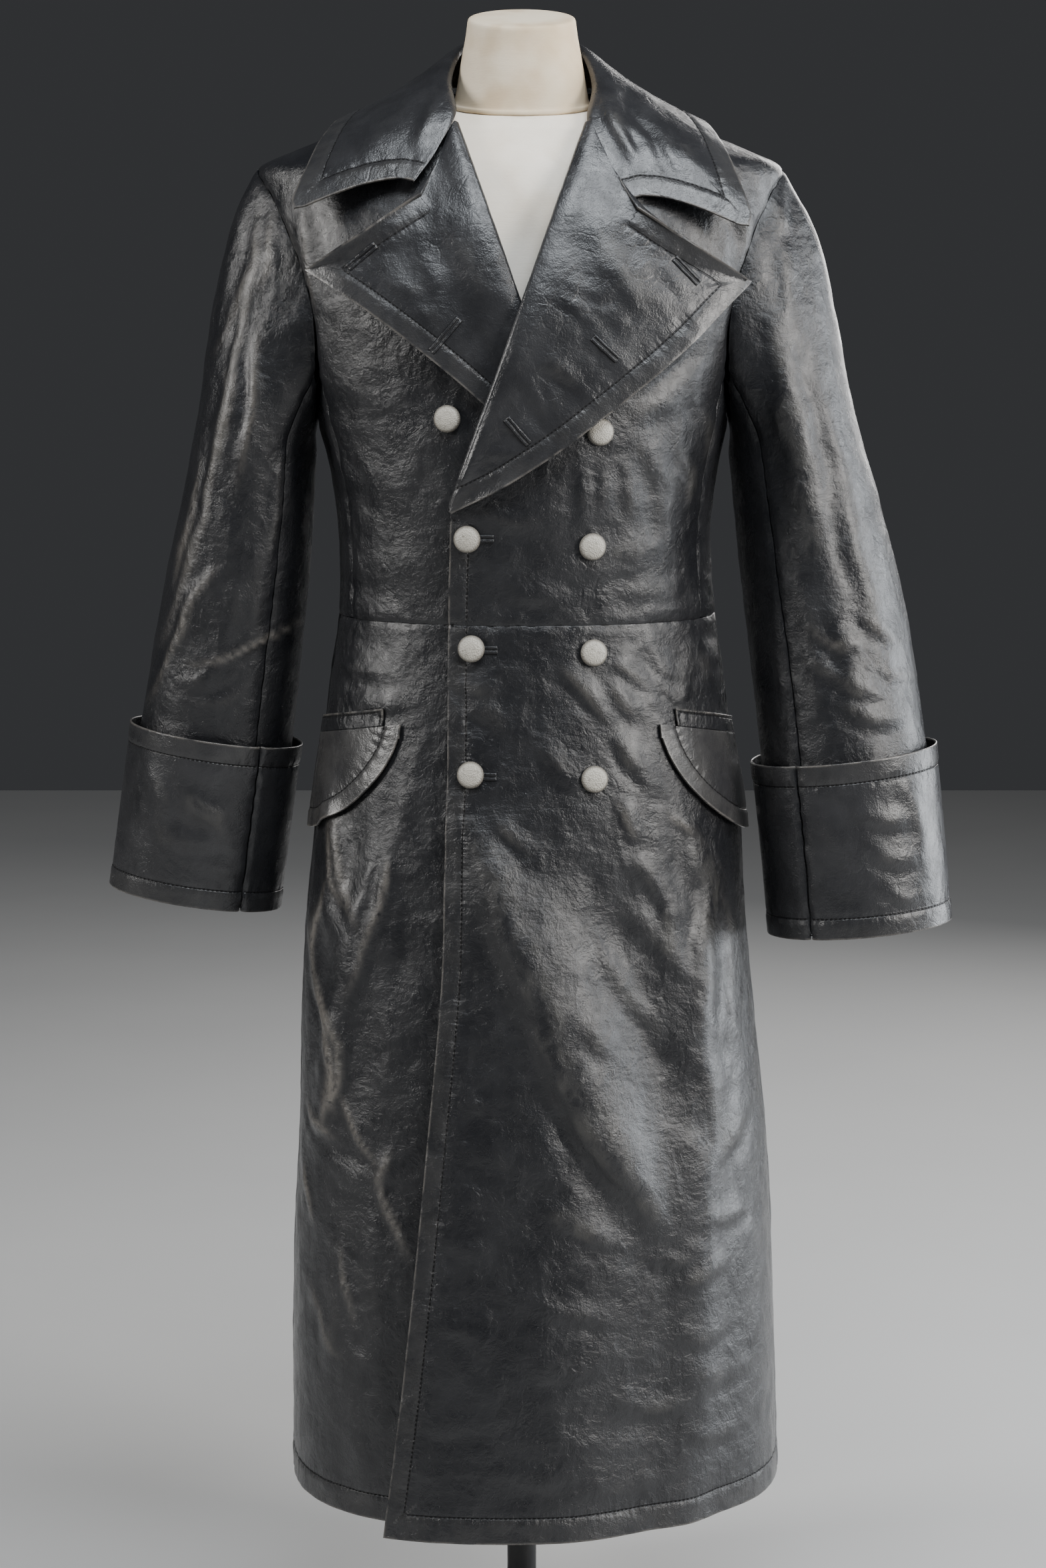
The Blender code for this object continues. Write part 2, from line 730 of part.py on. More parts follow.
def sleeve_start(side, angle):
    """A point of the seam into the armhole, which laps over the side body under the arm."""
    turn = math.radians(angle)
    widest = ARMHOLE_FRONT_ANGLE if math.sin(turn) > 0 else ARMHOLE_BACK_ANGLE
    opening = (widest - seam_turn(ARMHOLE_INSET)) * math.sin(turn)
    if math.cos(turn) > 0:
        z = ARMHOLE_MID_Z + (SHOULDER_Z - ARMHOLE_INSET - ARMHOLE_MID_Z) * math.cos(turn)
    else:
        z = ARMHOLE_MID_Z + (ARMHOLE_MID_Z - ARMPIT_Z - ARMHOLE_INSET) * math.cos(turn)
    lap = ARMPIT_LAP * smooth(-math.cos(turn) / -math.cos(math.radians(TOP_ANGLES[-1])))
    return coat(opening, z, lap) if side > 0 else on_right(opening, z, lap)


def sleeve_place(rings, side, angles):
    """A sleeve piece over a list of angles, from the armhole over its head and down to the cuff."""
    rows = CAP_ROWS + ARM_ROWS

    def place(across, along):
        angle = level_of(angles, across)
        row = along * rows
        top_z = rings[0].z
        if row >= CAP_ROWS:
            share = (row - CAP_ROWS) / ARM_ROWS
            return sleeve_end(rings, side, top_z + (rings[-1].z - top_z) * share, angle)
        share = row / CAP_ROWS
        start = sleeve_start(side, angle)
        end = sleeve_end(rings, side, top_z, angle)
        length = (end - start).length
        down = (sleeve_end(rings, side, top_z - 0.02, angle) - end).normalized()
        leave = (Vector((side, 0, 0)) * CAP_OUTWARD + down * CAP_DOWNWARD).normalized()
        point = start * (2 * share ** 3 - 3 * share ** 2 + 1)
        point += leave * length * (share ** 3 - 2 * share ** 2 + share)
        point += end * (3 * share ** 2 - 2 * share ** 3)
        return point + down * length * (share ** 3 - share ** 2)
    return place


def cuff_place(rings, side, top_z):
    """A cuff round the end of a sleeve, open at the sleeve's front seam."""
    angles = UNDER_ANGLES + tuple(360 + angle for angle in TOP_ANGLES[1:])

    def place(across, along):
        angle = level_of(angles, across)
        foot_z = rings[-1].z
        out = CUFF_END_OUT + (CUFF_TOP_OUT - CUFF_END_OUT) * along
        point = sleeve_end(rings, side, foot_z + (top_z - foot_z) * along, angle, out)
        return point - Vector((0, 0, CUFF_BELOW_SLEEVE * (1 - along)))
    return place, len(angles) - 1


def flap_place(pocket, surface):
    """A pocket flap: straight on top, its front lower corner a quarter round."""
    def place(across, along):
        spread = FLAP_EVEN * across + (1 - FLAP_EVEN) * (1 - math.cos(across * math.pi / 2))
        angle = pocket.front_angle + (pocket.back_angle - pocket.front_angle) * spread
        curve = min(spread / FLAP_CURVE_SHARE, 1.0)
        height = max(math.sqrt(1 - (1 - curve) ** 2), FLAP_LEAST_HEIGHT) * pocket.height
        z = pocket.z - pocket.drop * spread - height * along
        return surface(angle, z, POCKET_OUT + (FLAP_FOOT_OUT - POCKET_OUT) * along * height / pocket.height)
    return place


def welt_place(pocket, surface):
    """The strip sewn on above a flap."""
    def place(across, along):
        start = pocket.front_angle - WELT_FRONT_CUT
        angle = start + (pocket.back_angle - start) * across
        spread = (pocket.front_angle - angle) / (pocket.front_angle - pocket.back_angle)
        z = pocket.z - pocket.drop * spread + SEAM + WELT_HEIGHT * along
        return surface(angle, z, POCKET_OUT)
    return place


def form_point(ring, turn, share):
    """A point of the torso, which leans to the front at the neck."""
    cosine = math.cos(turn)
    sine = math.sin(turn)
    depth = ring.front if sine < 0 else ring.back
    x = ring.half * math.copysign(abs(cosine) ** (2 / FORM_CORNER), cosine) * share
    y = depth * math.copysign(abs(sine) ** (2 / FORM_CORNER), sine) * share
    lean = max(ring.z - TILT_FROM_Z, 0.0) / (FORM_RINGS[-1].z - TILT_FROM_Z)
    return Vector((x, y, ring.z + FORM_TILT * lean * y))


def neck_point(ring, turn, share):
    """A point of the neck block, which leans to the front."""
    along = ring.height / NECK_RINGS[-1].height
    tilt = FORM_TILT + (NECK_CAP_TILT - FORM_TILT) * along
    y = ring.radius * math.sin(turn) * share
    base_z = FORM_RINGS[-1].z + SEAM
    return Vector((ring.radius * math.cos(turn) * share, y + NECK_Y - NECK_LEAN * ring.height,
                   base_z + ring.height + tilt * (y + NECK_Y)))


def button_place(button, surface, side):
    """A button standing on its front."""
    z = button.z
    angle = angle_at(button.x, z)
    if side < 0:
        angle = 180 - angle
    seat = BUTTON_SEAT + button.shank
    centre = surface(angle, z, seat)
    up = (surface(angle, z, 2 * seat) - centre).normalized()
    spin = Vector((0, 0, 1)).rotation_difference(up).to_matrix()

    def place(ring, turn, share):
        local = Vector((math.cos(turn), math.sin(turn), 0)) * ring.radius * share
        local.z = ring.height
        return centre + spin @ local
    return place


for old in list(bpy.data.objects):
    bpy.data.objects.remove(old, do_unlink=True)
PARTS = collection_for(OBJECT_NAME)

leather = surface_finish("black_leather", LEATHER_COLOUR, 0.42)
stand_leather = surface_finish("brown_leather", STAND_COLOUR, 0.55)
button_finish = surface_finish("pale_button", BUTTON_COLOUR, 0.45)
canvas = surface_finish("cream_canvas", CANVAS_COLOUR, 0.85)
neck_canvas = surface_finish("tan_canvas", NECK_COLOUR, 0.75)
metal = surface_finish("black_metal", METAL_COLOUR, 0.45, 0.3)

# Body of the coat
bodice_rows = len(BODICE_LEVELS) - 1
skirt_rows = len(SKIRT_LEVELS) - 1
side_rows = len(SIDE_LEVELS) - 1
sheet("back_bodice", 14, bodice_rows, back_bodice, leather)
sheet("left_side_body", SIDE_COLUMNS, side_rows, left_side_body, leather)
sheet("right_side_body", SIDE_COLUMNS, side_rows, right_side_body, leather)
sheet("left_front_bodice", 10, bodice_rows, left_front_bodice, leather)
sheet("right_front_bodice", 10, bodice_rows, right_front_bodice, leather)
sheet("back_skirt", 20, skirt_rows, back_skirt, leather)
sheet("left_front_skirt", 13, skirt_rows, left_front_skirt, leather)
sheet("right_front_skirt", 12, skirt_rows, right_front_skirt, leather)

# Lapels and collar
sheet("left_lapel", LAPEL_COLUMNS, LAPEL_ROWS, lapel_place(LEFT_LAPEL, 1, on_left), leather)
sheet("right_lapel", LAPEL_COLUMNS, LAPEL_ROWS, lapel_place(RIGHT_LAPEL, -1, on_right), leather)
sheet("collar_stand", STAND_COLUMNS, STAND_ROWS, collar_stand, stand_leather)
sheet("collar_leaf", LEAF_COLUMNS, LEAF_ROWS, collar_leaf, leather)

# Sleeves and cuffs
arm_gap = math.degrees(SLEEVE_HALF_SEAM / LEFT_SLEEVE[0].half_width)
half_top = tuple(armhole_turn(z) for z in ARMHOLE_LEVELS[:-1])
TOP_ANGLES = (-half_top[0] + arm_gap,) + tuple(-turn for turn in half_top[1:]) + (0.0,)
TOP_ANGLES += tuple(reversed(half_top[1:])) + (half_top[0] - arm_gap,)
side_angles = tuple(SIDE_BODY_ANGLE * (1 - 2 * k / SIDE_COLUMNS) for k in range(1, SIDE_COLUMNS))
inner_angles = tuple(180 - math.degrees(math.asin(angle / ARMHOLE_FRONT_ANGLE)) for angle in side_angles)
UNDER_ANGLES = (half_top[0] + arm_gap,) + inner_angles + (360 - half_top[0] - arm_gap,)
sleeve_rows = CAP_ROWS + ARM_ROWS
for name, side, rings, cuff_top in (
    ("left", 1, LEFT_SLEEVE, LEFT_CUFF_TOP_Z),
    ("right", -1, RIGHT_SLEEVE, RIGHT_CUFF_TOP_Z),
):
    top_piece = sleeve_place(rings, side, TOP_ANGLES)
    under_piece = sleeve_place(rings, side, UNDER_ANGLES)
    sheet(name + "_top_sleeve", len(TOP_ANGLES) - 1, sleeve_rows, top_piece, leather)
    sheet(name + "_under_sleeve", len(UNDER_ANGLES) - 1, sleeve_rows, under_piece, leather)
    cuff_piece, cuff_columns = cuff_place(rings, side, cuff_top)
    sheet(name + "_cuff", cuff_columns, CUFF_ROWS, cuff_piece, leather)

# Pockets
for name, pocket, surface in (("left", LEFT_POCKET, on_left), ("right", RIGHT_POCKET, on_right)):
    sheet(name + "_pocket_flap", FLAP_COLUMNS, FLAP_ROWS, flap_place(pocket, surface), leather)
    sheet(name + "_pocket_welt", WELT_COLUMNS, WELT_ROWS, welt_place(pocket, surface), leather)

# Buttons
for button in BUTTONS:
    surface = on_left if button.on_left else on_right
    side = 1 if button.on_left else -1
    seat = button_place(button, surface, side)
    ring_stack(button.node, BUTTON_RINGS, BUTTON_SEGMENTS, seat, button_finish)

# Dress form
ring_stack("form_torso", FORM_RINGS, FORM_SEGMENTS, form_point, canvas)
ring_stack("form_neck", NECK_RINGS, NECK_SEGMENTS, neck_point, neck_canvas)

pole_foot = BASE_HEIGHT + SEAM
pole_length = FORM_RINGS[0].z - SEAM - pole_foot
pole = bmesh.new()
bmesh.ops.create_cone(
    pole, cap_ends=True, segments=POLE_SEGMENTS, radius1=POLE_RADIUS, radius2=POLE_RADIUS,
    depth=pole_length, matrix=Matrix.Translation((0, 0, pole_foot + pole_length / 2)))
add_object("form_pole", pole, metal)

base = bmesh.new()
bmesh.ops.create_cone(
    base, cap_ends=True, segments=BASE_SEGMENTS, radius1=BASE_RADIUS, radius2=BASE_RADIUS,
    depth=BASE_HEIGHT, matrix=Matrix.Translation((0, 0, BASE_HEIGHT / 2)))
base_piece = add_object("form_base", base, metal)
rounding = base_piece.modifiers.new("rounding", "BEVEL")
rounding.width = BASE_BEVEL
rounding.segments = 2
rounding.limit_method = "ANGLE"
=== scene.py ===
import math
from typing import NamedTuple

import bmesh
import bpy
import numpy as np
from mathutils import Matrix, Vector, bvhtree, kdtree, noise


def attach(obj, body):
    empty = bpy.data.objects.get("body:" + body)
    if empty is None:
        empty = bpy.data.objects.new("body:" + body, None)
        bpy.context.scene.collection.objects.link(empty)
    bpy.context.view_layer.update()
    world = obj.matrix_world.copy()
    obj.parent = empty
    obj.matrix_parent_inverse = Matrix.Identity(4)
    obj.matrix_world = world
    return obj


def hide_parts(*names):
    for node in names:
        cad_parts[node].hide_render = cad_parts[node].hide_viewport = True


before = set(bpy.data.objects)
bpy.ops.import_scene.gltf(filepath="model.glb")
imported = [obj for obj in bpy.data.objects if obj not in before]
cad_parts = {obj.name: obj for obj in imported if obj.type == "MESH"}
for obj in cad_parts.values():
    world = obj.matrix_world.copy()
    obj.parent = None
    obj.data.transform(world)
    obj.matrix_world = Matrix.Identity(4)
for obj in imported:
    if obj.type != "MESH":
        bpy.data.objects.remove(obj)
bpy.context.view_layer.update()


# Stand: a turned steel plate with a rounded rim, and a steel pole set into it that carries the form.
# Both are painted satin black, under a thin uneven film of dust.
class Wire:
    """A socket of a material, so that shader sums are written as they are on paper."""

    def __init__(self, socket):
        self.socket = socket
        self.tree = socket.id_data

    def take(self, value):
        """Links this input to another wire, or sets it."""
        if isinstance(value, Wire):
            self.tree.links.new(value.socket, self.socket)
        else:
            self.socket.default_value = value

    def node(self, kind, settings, inputs, output=0):
        """Adds a node: its settings first, then its inputs, and gives one of its outputs."""
        made = self.tree.nodes.new(kind)
        for setting, value in settings.items():
            setattr(made, setting, value)
        for key, value in inputs.items():
            Wire(made.inputs[key]).take(value)
        return Wire(made.outputs[output])

    def math(self, operation, *values):
        return self.node("ShaderNodeMath", {"operation": operation}, dict(enumerate(values)))

    def __add__(self, other):
        return self.math("ADD", self, other)

    def __sub__(self, other):
        return self.math("SUBTRACT", self, other)

    def __rsub__(self, other):
        return self.math("SUBTRACT", other, self)

    def __mul__(self, other):
        return self.math("MULTIPLY", self, other)

    __radd__ = __add__
    __rmul__ = __mul__

    def size(self):
        return self.math("ABSOLUTE", self)

    def step(self, low, high):
        """A soft step from 0 at low to 1 at high."""
        limits = {"Value": self, "From Min": low, "From Max": high}
        return self.node("ShaderNodeMapRange", {"interpolation_type": "SMOOTHSTEP"}, limits)

    def noise(self, feature, detail=3.0, roughness=0.55):
        """Soft noise of a feature size in metres, about 0.5."""
        inputs = {"Vector": self, "Scale": 1 / feature, "Detail": detail, "Roughness": roughness}
        return self.node("ShaderNodeTexNoise", {}, inputs)

    def stretched(self, scale):
        """Coordinates scaled along each axis."""
        return self.node("ShaderNodeMapping", {}, {"Vector": self, "Scale": scale})

    def warped(self, feature, amount):
        """Coordinates pushed about by noise of a feature size."""
        swirl = self.node("ShaderNodeTexNoise", {}, {"Vector": self, "Scale": 1 / feature, "Detail": 2.0}, "Color")
        return self.node("ShaderNodeVectorMath", {"operation": "MULTIPLY_ADD"},
                         {0: swirl, 1: (amount,) * 3, 2: self})

    def between(self, first, second):
        """A colour from first at 0 to second at 1."""
        return self.node("ShaderNodeMix", {"data_type": "RGBA"}, {"Factor": self, 6: first, 7: second}, 2)

    def relief(self):
        """A surface normal from a height in metres."""
        return self.node("ShaderNodeBump", {}, {"Strength": 1.0, "Distance": 1.0, "Height": self})


def new_finish(name):
    """A material, its shader's inputs and the piece's own coordinates."""
    finish = bpy.data.materials.new(name)
    finish.use_nodes = True
    nodes = finish.node_tree.nodes
    shader = {socket.name: Wire(socket) for socket in nodes["Principled BSDF"].inputs}
    return finish, shader, Wire(nodes.new("ShaderNodeTexCoord").outputs["Object"])


def add_piece(name, mesh, finish, slot, *nodes):
    """A finished piece of the object in the place of its solids."""
    mesh.materials.append(finish)
    mesh.shade_smooth()
    piece = bpy.data.objects.new(name, mesh)
    bpy.context.scene.collection.objects.link(piece)
    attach(piece, "root")
    if nodes:
        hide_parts(*nodes)
    return piece


def mesh_of(name, shape):
    """A mesh from a finished bmesh."""
    mesh = bpy.data.meshes.new(name)
    shape.to_mesh(mesh)
    shape.free()
    return mesh


BASE_RADIUS = 0.190
BASE_HEIGHT = 0.018
BASE_ROUND = 0.005
POLE_RADIUS = 0.014
POLE_TOP_Z = 0.7997
POLE_ROUND = 0.001
JOINT_GAP = 0.0003
PAINT_BLACK = (0.022, 0.022, 0.024, 1)
PAINT_DUST = (0.042, 0.042, 0.041, 1)

paint, shader, spot = new_finish("black_paint")
dust = spot.noise(0.05, 5, 0.65).step(0.42, 0.72)
shader["Base Color"].take(dust.between(PAINT_BLACK, PAINT_DUST))
shader["Roughness"].take(0.34 + 0.24 * dust)
shader["Metallic"].take(0.2)
shader["Normal"].take((spot.noise(0.0022, 2) * 0.00004).relief())


def turned_bar(name, radius, low, high, segments, rounding, node):
    """A round bar or plate with rounded rims."""
    bar = bmesh.new()
    middle = Matrix.Translation((0, 0, (low + high) / 2))
    bmesh.ops.create_cone(bar, cap_ends=True, segments=segments, radius1=radius, radius2=radius,
                          depth=high - low, matrix=middle)
    rims = [edge for edge in bar.edges if abs(edge.verts[0].co.z - edge.verts[1].co.z) < rounding / 10]
    bmesh.ops.bevel(bar, geom=rims, offset=rounding, affect="EDGES", segments=4, profile=0.5, material=-1)
    add_piece(name, mesh_of(name, bar), paint, "black_metal", node)


turned_bar("stand_plate", BASE_RADIUS, 0.0, BASE_HEIGHT, 128, BASE_ROUND, "form_base")
turned_bar("stand_pole", POLE_RADIUS, BASE_HEIGHT + JOINT_GAP, POLE_TOP_Z, 48, POLE_ROUND, "form_pole")


# Dress form torso: a padded shell without limbs, covered in one layer of cream canvas.
# The canvas is plain weave, stretched smooth, with faint tan marks from age.
class FormRing(NamedTuple):
    """A level outline of the torso, at an even step along it."""
    along: float
    z: float
    half: float
    front: float
    back: float


def evenly(kind, rows):
    """Rows of a table whose first column runs from 0 to 1 in even steps."""
    return tuple(kind(k / (len(rows) - 1), *row) for k, row in enumerate(rows))


FORM_RINGS = evenly(FormRing, (
    (0.800, 0.150, 0.094, 0.098), (0.806, 0.160, 0.103, 0.107), (0.840, 0.171, 0.115, 0.119),
    (0.900, 0.170, 0.119, 0.116), (0.960, 0.160, 0.116, 0.103), (1.030, 0.146, 0.110, 0.092),
    (1.110, 0.149, 0.114, 0.095), (1.200, 0.165, 0.120, 0.108), (1.300, 0.184, 0.120, 0.112),
    (1.370, 0.200, 0.108, 0.100), (1.410, 0.209, 0.097, 0.088), (1.433, 0.207, 0.090, 0.078),
    (1.450, 0.1963, 0.0805, 0.066), (1.465, 0.1593, 0.0725, 0.058), (1.480, 0.115, 0.068, 0.058),
    (1.487, 0.076, 0.067, 0.060)))
FORM_CORNER = 2.2
FORM_TILT = 0.17
TILT_FROM_Z = 1.465
FORM_TOP_Z = 1.487
CANVAS_CREAM = (0.84, 0.77, 0.66, 1)
CANVAS_PALE = (0.92, 0.87, 0.78, 1)
CANVAS_TAN = (0.50, 0.38, 0.25, 1)
THREAD_PITCH = 0.0011


def curve_weights(share):
    """Weights of the start, its slope, the end and its slope on a smooth curve."""
    square, cube = share ** 2, share ** 3
    return 2 * cube - 3 * square + 1, cube - 2 * square + share, 3 * square - 2 * cube, cube - square


def read(rows, at):
    """The row of a table at values of its first column, on a smooth curve through its rows."""
    table = np.array(rows, float)
    key = table[:, 0]
    at = np.asarray(at, float)
    index = np.clip(np.searchsorted(key, at, side="left") - 1, 0, len(key) - 2)
    chord = np.diff(table, axis=0) / np.diff(key)[:, None]
    inner = (table[2:] - table[:-2]) / (key[2:] - key[:-2])[:, None]
    slope = np.vstack([chord[:1], inner, chord[-1:]])
    span = (key[index + 1] - key[index])[..., None]
    share = np.clip((at[..., None] - key[index][..., None]) / span, 0, 1)
    start, leave, end, arrive = curve_weights(share)
    smooth = table[index] * start + table[index + 1] * end
    smooth = smooth + (slope[index] * leave + slope[index + 1] * arrive) * span
    return type(rows[0])(*np.moveaxis(smooth, -1, 0))


def turned_form(name, segments, bands, place):
    """A closed shape round the Z axis, each point set by place(share up, angle, share out)."""
    ball = bmesh.new()
    bmesh.ops.create_uvsphere(ball, u_segments=segments, v_segments=bands, radius=1.0)
    for vert in ball.verts:
        band = round(math.acos(min(max(-vert.co.z, -1), 1)) / math.pi * bands)
        up = min(max((band - 1) / (bands - 2), 0), 1)
        out = 1.0 if 0 < band < bands else 0.0
        vert.co = place(up, math.atan2(vert.co.y, vert.co.x), out)
    return mesh_of(name, ball)


def torso_point(up, turn, out):
    ring = read(FORM_RINGS, up)
    cosine, sine = math.cos(turn), math.sin(turn)
    depth = ring.front if sine < 0 else ring.back
    x = ring.half * math.copysign(abs(cosine) ** (2 / FORM_CORNER), cosine) * out
    y = depth * math.copysign(abs(sine) ** (2 / FORM_CORNER), sine) * out
    lean = max(ring.z - TILT_FROM_Z, 0) / (FORM_TOP_Z - TILT_FROM_Z)
    return Vector((x, y, ring.z + FORM_TILT * lean * y))


def canvas_finish(name, light, dark, marks):
    """Plain woven canvas with aged marks."""
    finish, shader, spot = new_finish(name)
    turn = 2 * math.pi / THREAD_PITCH
    apart = spot.node("ShaderNodeSeparateXYZ", {}, {"Vector": spot})
    across = Wire(apart.socket.node.outputs["X"])
    upward = Wire(apart.socket.node.outputs["Z"])
    weave = spot.math("SINE", across * turn) * spot.math("SINE", upward * turn)
    slub = spot.stretched((1, 1, 8)).noise(0.012, 3)
    age = spot.noise(0.045, 5, 0.62).step(0.46, 0.74)
    tone = spot.noise(0.09, 3).step(0.35, 0.65)
    shader["Base Color"].take((age * marks).between(tone.between(light, dark), CANVAS_TAN))
    shader["Roughness"].take(0.78 + 0.14 * slub)
    shader["Normal"].take((weave * 0.00006 + slub * 0.00018).relief())
    return finish


canvas = canvas_finish("cream_canvas", CANVAS_PALE, CANVAS_CREAM, 0.16)
add_piece("form_torso_canvas", turned_form("form_torso_canvas", 80, 90, torso_point), canvas,
          "cream_canvas", "form_torso")


# Neck block: a turned wooden plug under tan-stained canvas, glued on top of the torso and leaning forward.
# A flat tape ring covers the joint, and the canvas is drawn over the rounded top edge.
class NeckRing(NamedTuple):
    """A ring of the neck block, at an even step along it."""
    along: float
    radius: float
    height: float


NECK_RINGS = evenly(NeckRing, (
    (0.0630, 0.0000), (0.0646, 0.0014), (0.0640, 0.0040), (0.0617, 0.0058), (0.0600, 0.0130),
    (0.0570, 0.0300), (0.0541, 0.0460), (0.0510, 0.0620), (0.0497, 0.0710), (0.0488, 0.0770),
    (0.0470, 0.0792), (0.0430, 0.0800)))
NECK_LEAN = 0.19
NECK_CAP_TILT = 0.25
NECK_HEIGHT = 0.080
NECK_Y = -0.0035
NECK_PALE = (0.72, 0.63, 0.49, 1)
NECK_TAN = (0.60, 0.47, 0.31, 1)


def neck_point(up, turn, out):
    ring = read(NECK_RINGS, up)
    tilt = FORM_TILT + (NECK_CAP_TILT - FORM_TILT) * ring.height / NECK_HEIGHT
    y = ring.radius * math.sin(turn) * out
    z = FORM_TOP_Z + JOINT_GAP + ring.height + tilt * (y + NECK_Y)
    return Vector((ring.radius * math.cos(turn) * out, y + NECK_Y - NECK_LEAN * ring.height, z))


neck_canvas = canvas_finish("tan_canvas", NECK_PALE, NECK_TAN, 0.45)
add_piece("form_neck_block", turned_form("form_neck_block", 80, 60, neck_point), neck_canvas,
          "tan_canvas", "form_neck")


# Back of the bodice: one hide from the waist seam to the neck, shaped over the shoulders.
# Waxed black cowhide 2 mm thick; seam edges are turned in and sewn, and it hangs on the form.
class BodyRing(NamedTuple):
    """A level outline of the coat: half widths to each side, depths, and how square its corners are."""
    z: float
    left: float
    right: float
    front: float
    back: float
    corner: float


COAT_RINGS = (
    BodyRing(0.213, 0.244, 0.217, 0.212, 0.225, 2.6), BodyRing(0.380, 0.239, 0.217, 0.204, 0.208, 2.6),
    BodyRing(0.540, 0.230, 0.210, 0.191, 0.188, 2.5), BodyRing(0.720, 0.2115, 0.2035, 0.174, 0.163, 2.4),
    BodyRing(0.850, 0.203, 0.1915, 0.161, 0.148, 2.35), BodyRing(0.950, 0.190, 0.180, 0.150, 0.135, 2.3),
    BodyRing(1.026, 0.179, 0.169, 0.143, 0.123, 2.3), BodyRing(1.100, 0.174, 0.169, 0.145, 0.122, 2.3),
    BodyRing(1.165, 0.181, 0.177, 0.148, 0.127, 2.3), BodyRing(1.205, 0.190, 0.188, 0.149, 0.132, 2.3),
    BodyRing(1.295, 0.212, 0.212, 0.145, 0.138, 2.3), BodyRing(1.370, 0.230, 0.231, 0.128, 0.128, 2.25),
    BodyRing(1.410, 0.2375, 0.239, 0.111, 0.113, 2.2), BodyRing(1.433, 0.2375, 0.2395, 0.098, 0.102, 2.2),
    BodyRing(1.450, 0.200, 0.200, 0.088, 0.094, 2.2), BodyRing(1.465, 0.163, 0.163, 0.080, 0.088, 2.2),
    BodyRing(1.480, 0.126, 0.126, 0.072, 0.082, 2.2), BodyRing(1.492, 0.099, 0.099, 0.066, 0.0765, 2.2),
    BodyRing(1.503, 0.084, 0.084, 0.060, 0.072, 2.2),
)
LEATHER = 0.002
SEAM = 0.0003
ON_TOP = LEATHER + SEAM
TYPICAL_RADIUS = 0.2
HEM_Z = 0.213
WAIST_Z = 1.026
SHOULDER_Z = 1.433
NECK_Z = 1.503


class Fold(NamedTuple):
    """A ridge that runs down the skirt between two turn angles; a negative depth is a trough."""
    angle_top: float
    z_top: float
    angle_bottom: float
    z_bottom: float
    width: float
    depth: float


SKIRT_FOLDS = (
    Fold(103, 0.900, 64, 0.440, 0.028, 0.011), Fold(78, 0.860, 50, 0.520, 0.034, -0.009),
    Fold(43, 0.880, 60, 0.200, 0.030, 0.010), Fold(153, 0.900, 142, 0.700, 0.022, 0.007),
    Fold(124, 0.860, 152, 0.520, 0.024, 0.009), Fold(238, 0.980, 232, 0.200, 0.055, 0.012),
    Fold(272, 0.960, 275, 0.200, 0.060, 0.014), Fold(306, 0.980, 312, 0.200, 0.055, 0.012),
)
FOLD_RISE = 0.35
FOLD_FALL = 0.70


class Crease(NamedTuple):
    """A ridge as seen from in front or behind: start, middle, end, half width and height (- is a trough)."""
    x1: float
    z1: float
    x2: float
    z2: float
    x3: float
    z3: float
    width: float
    height: float


def creases_of(*rows):
    """Creases from rows of millimetres."""
    return tuple(Crease(*(value / 1000 for value in row)) for row in rows)


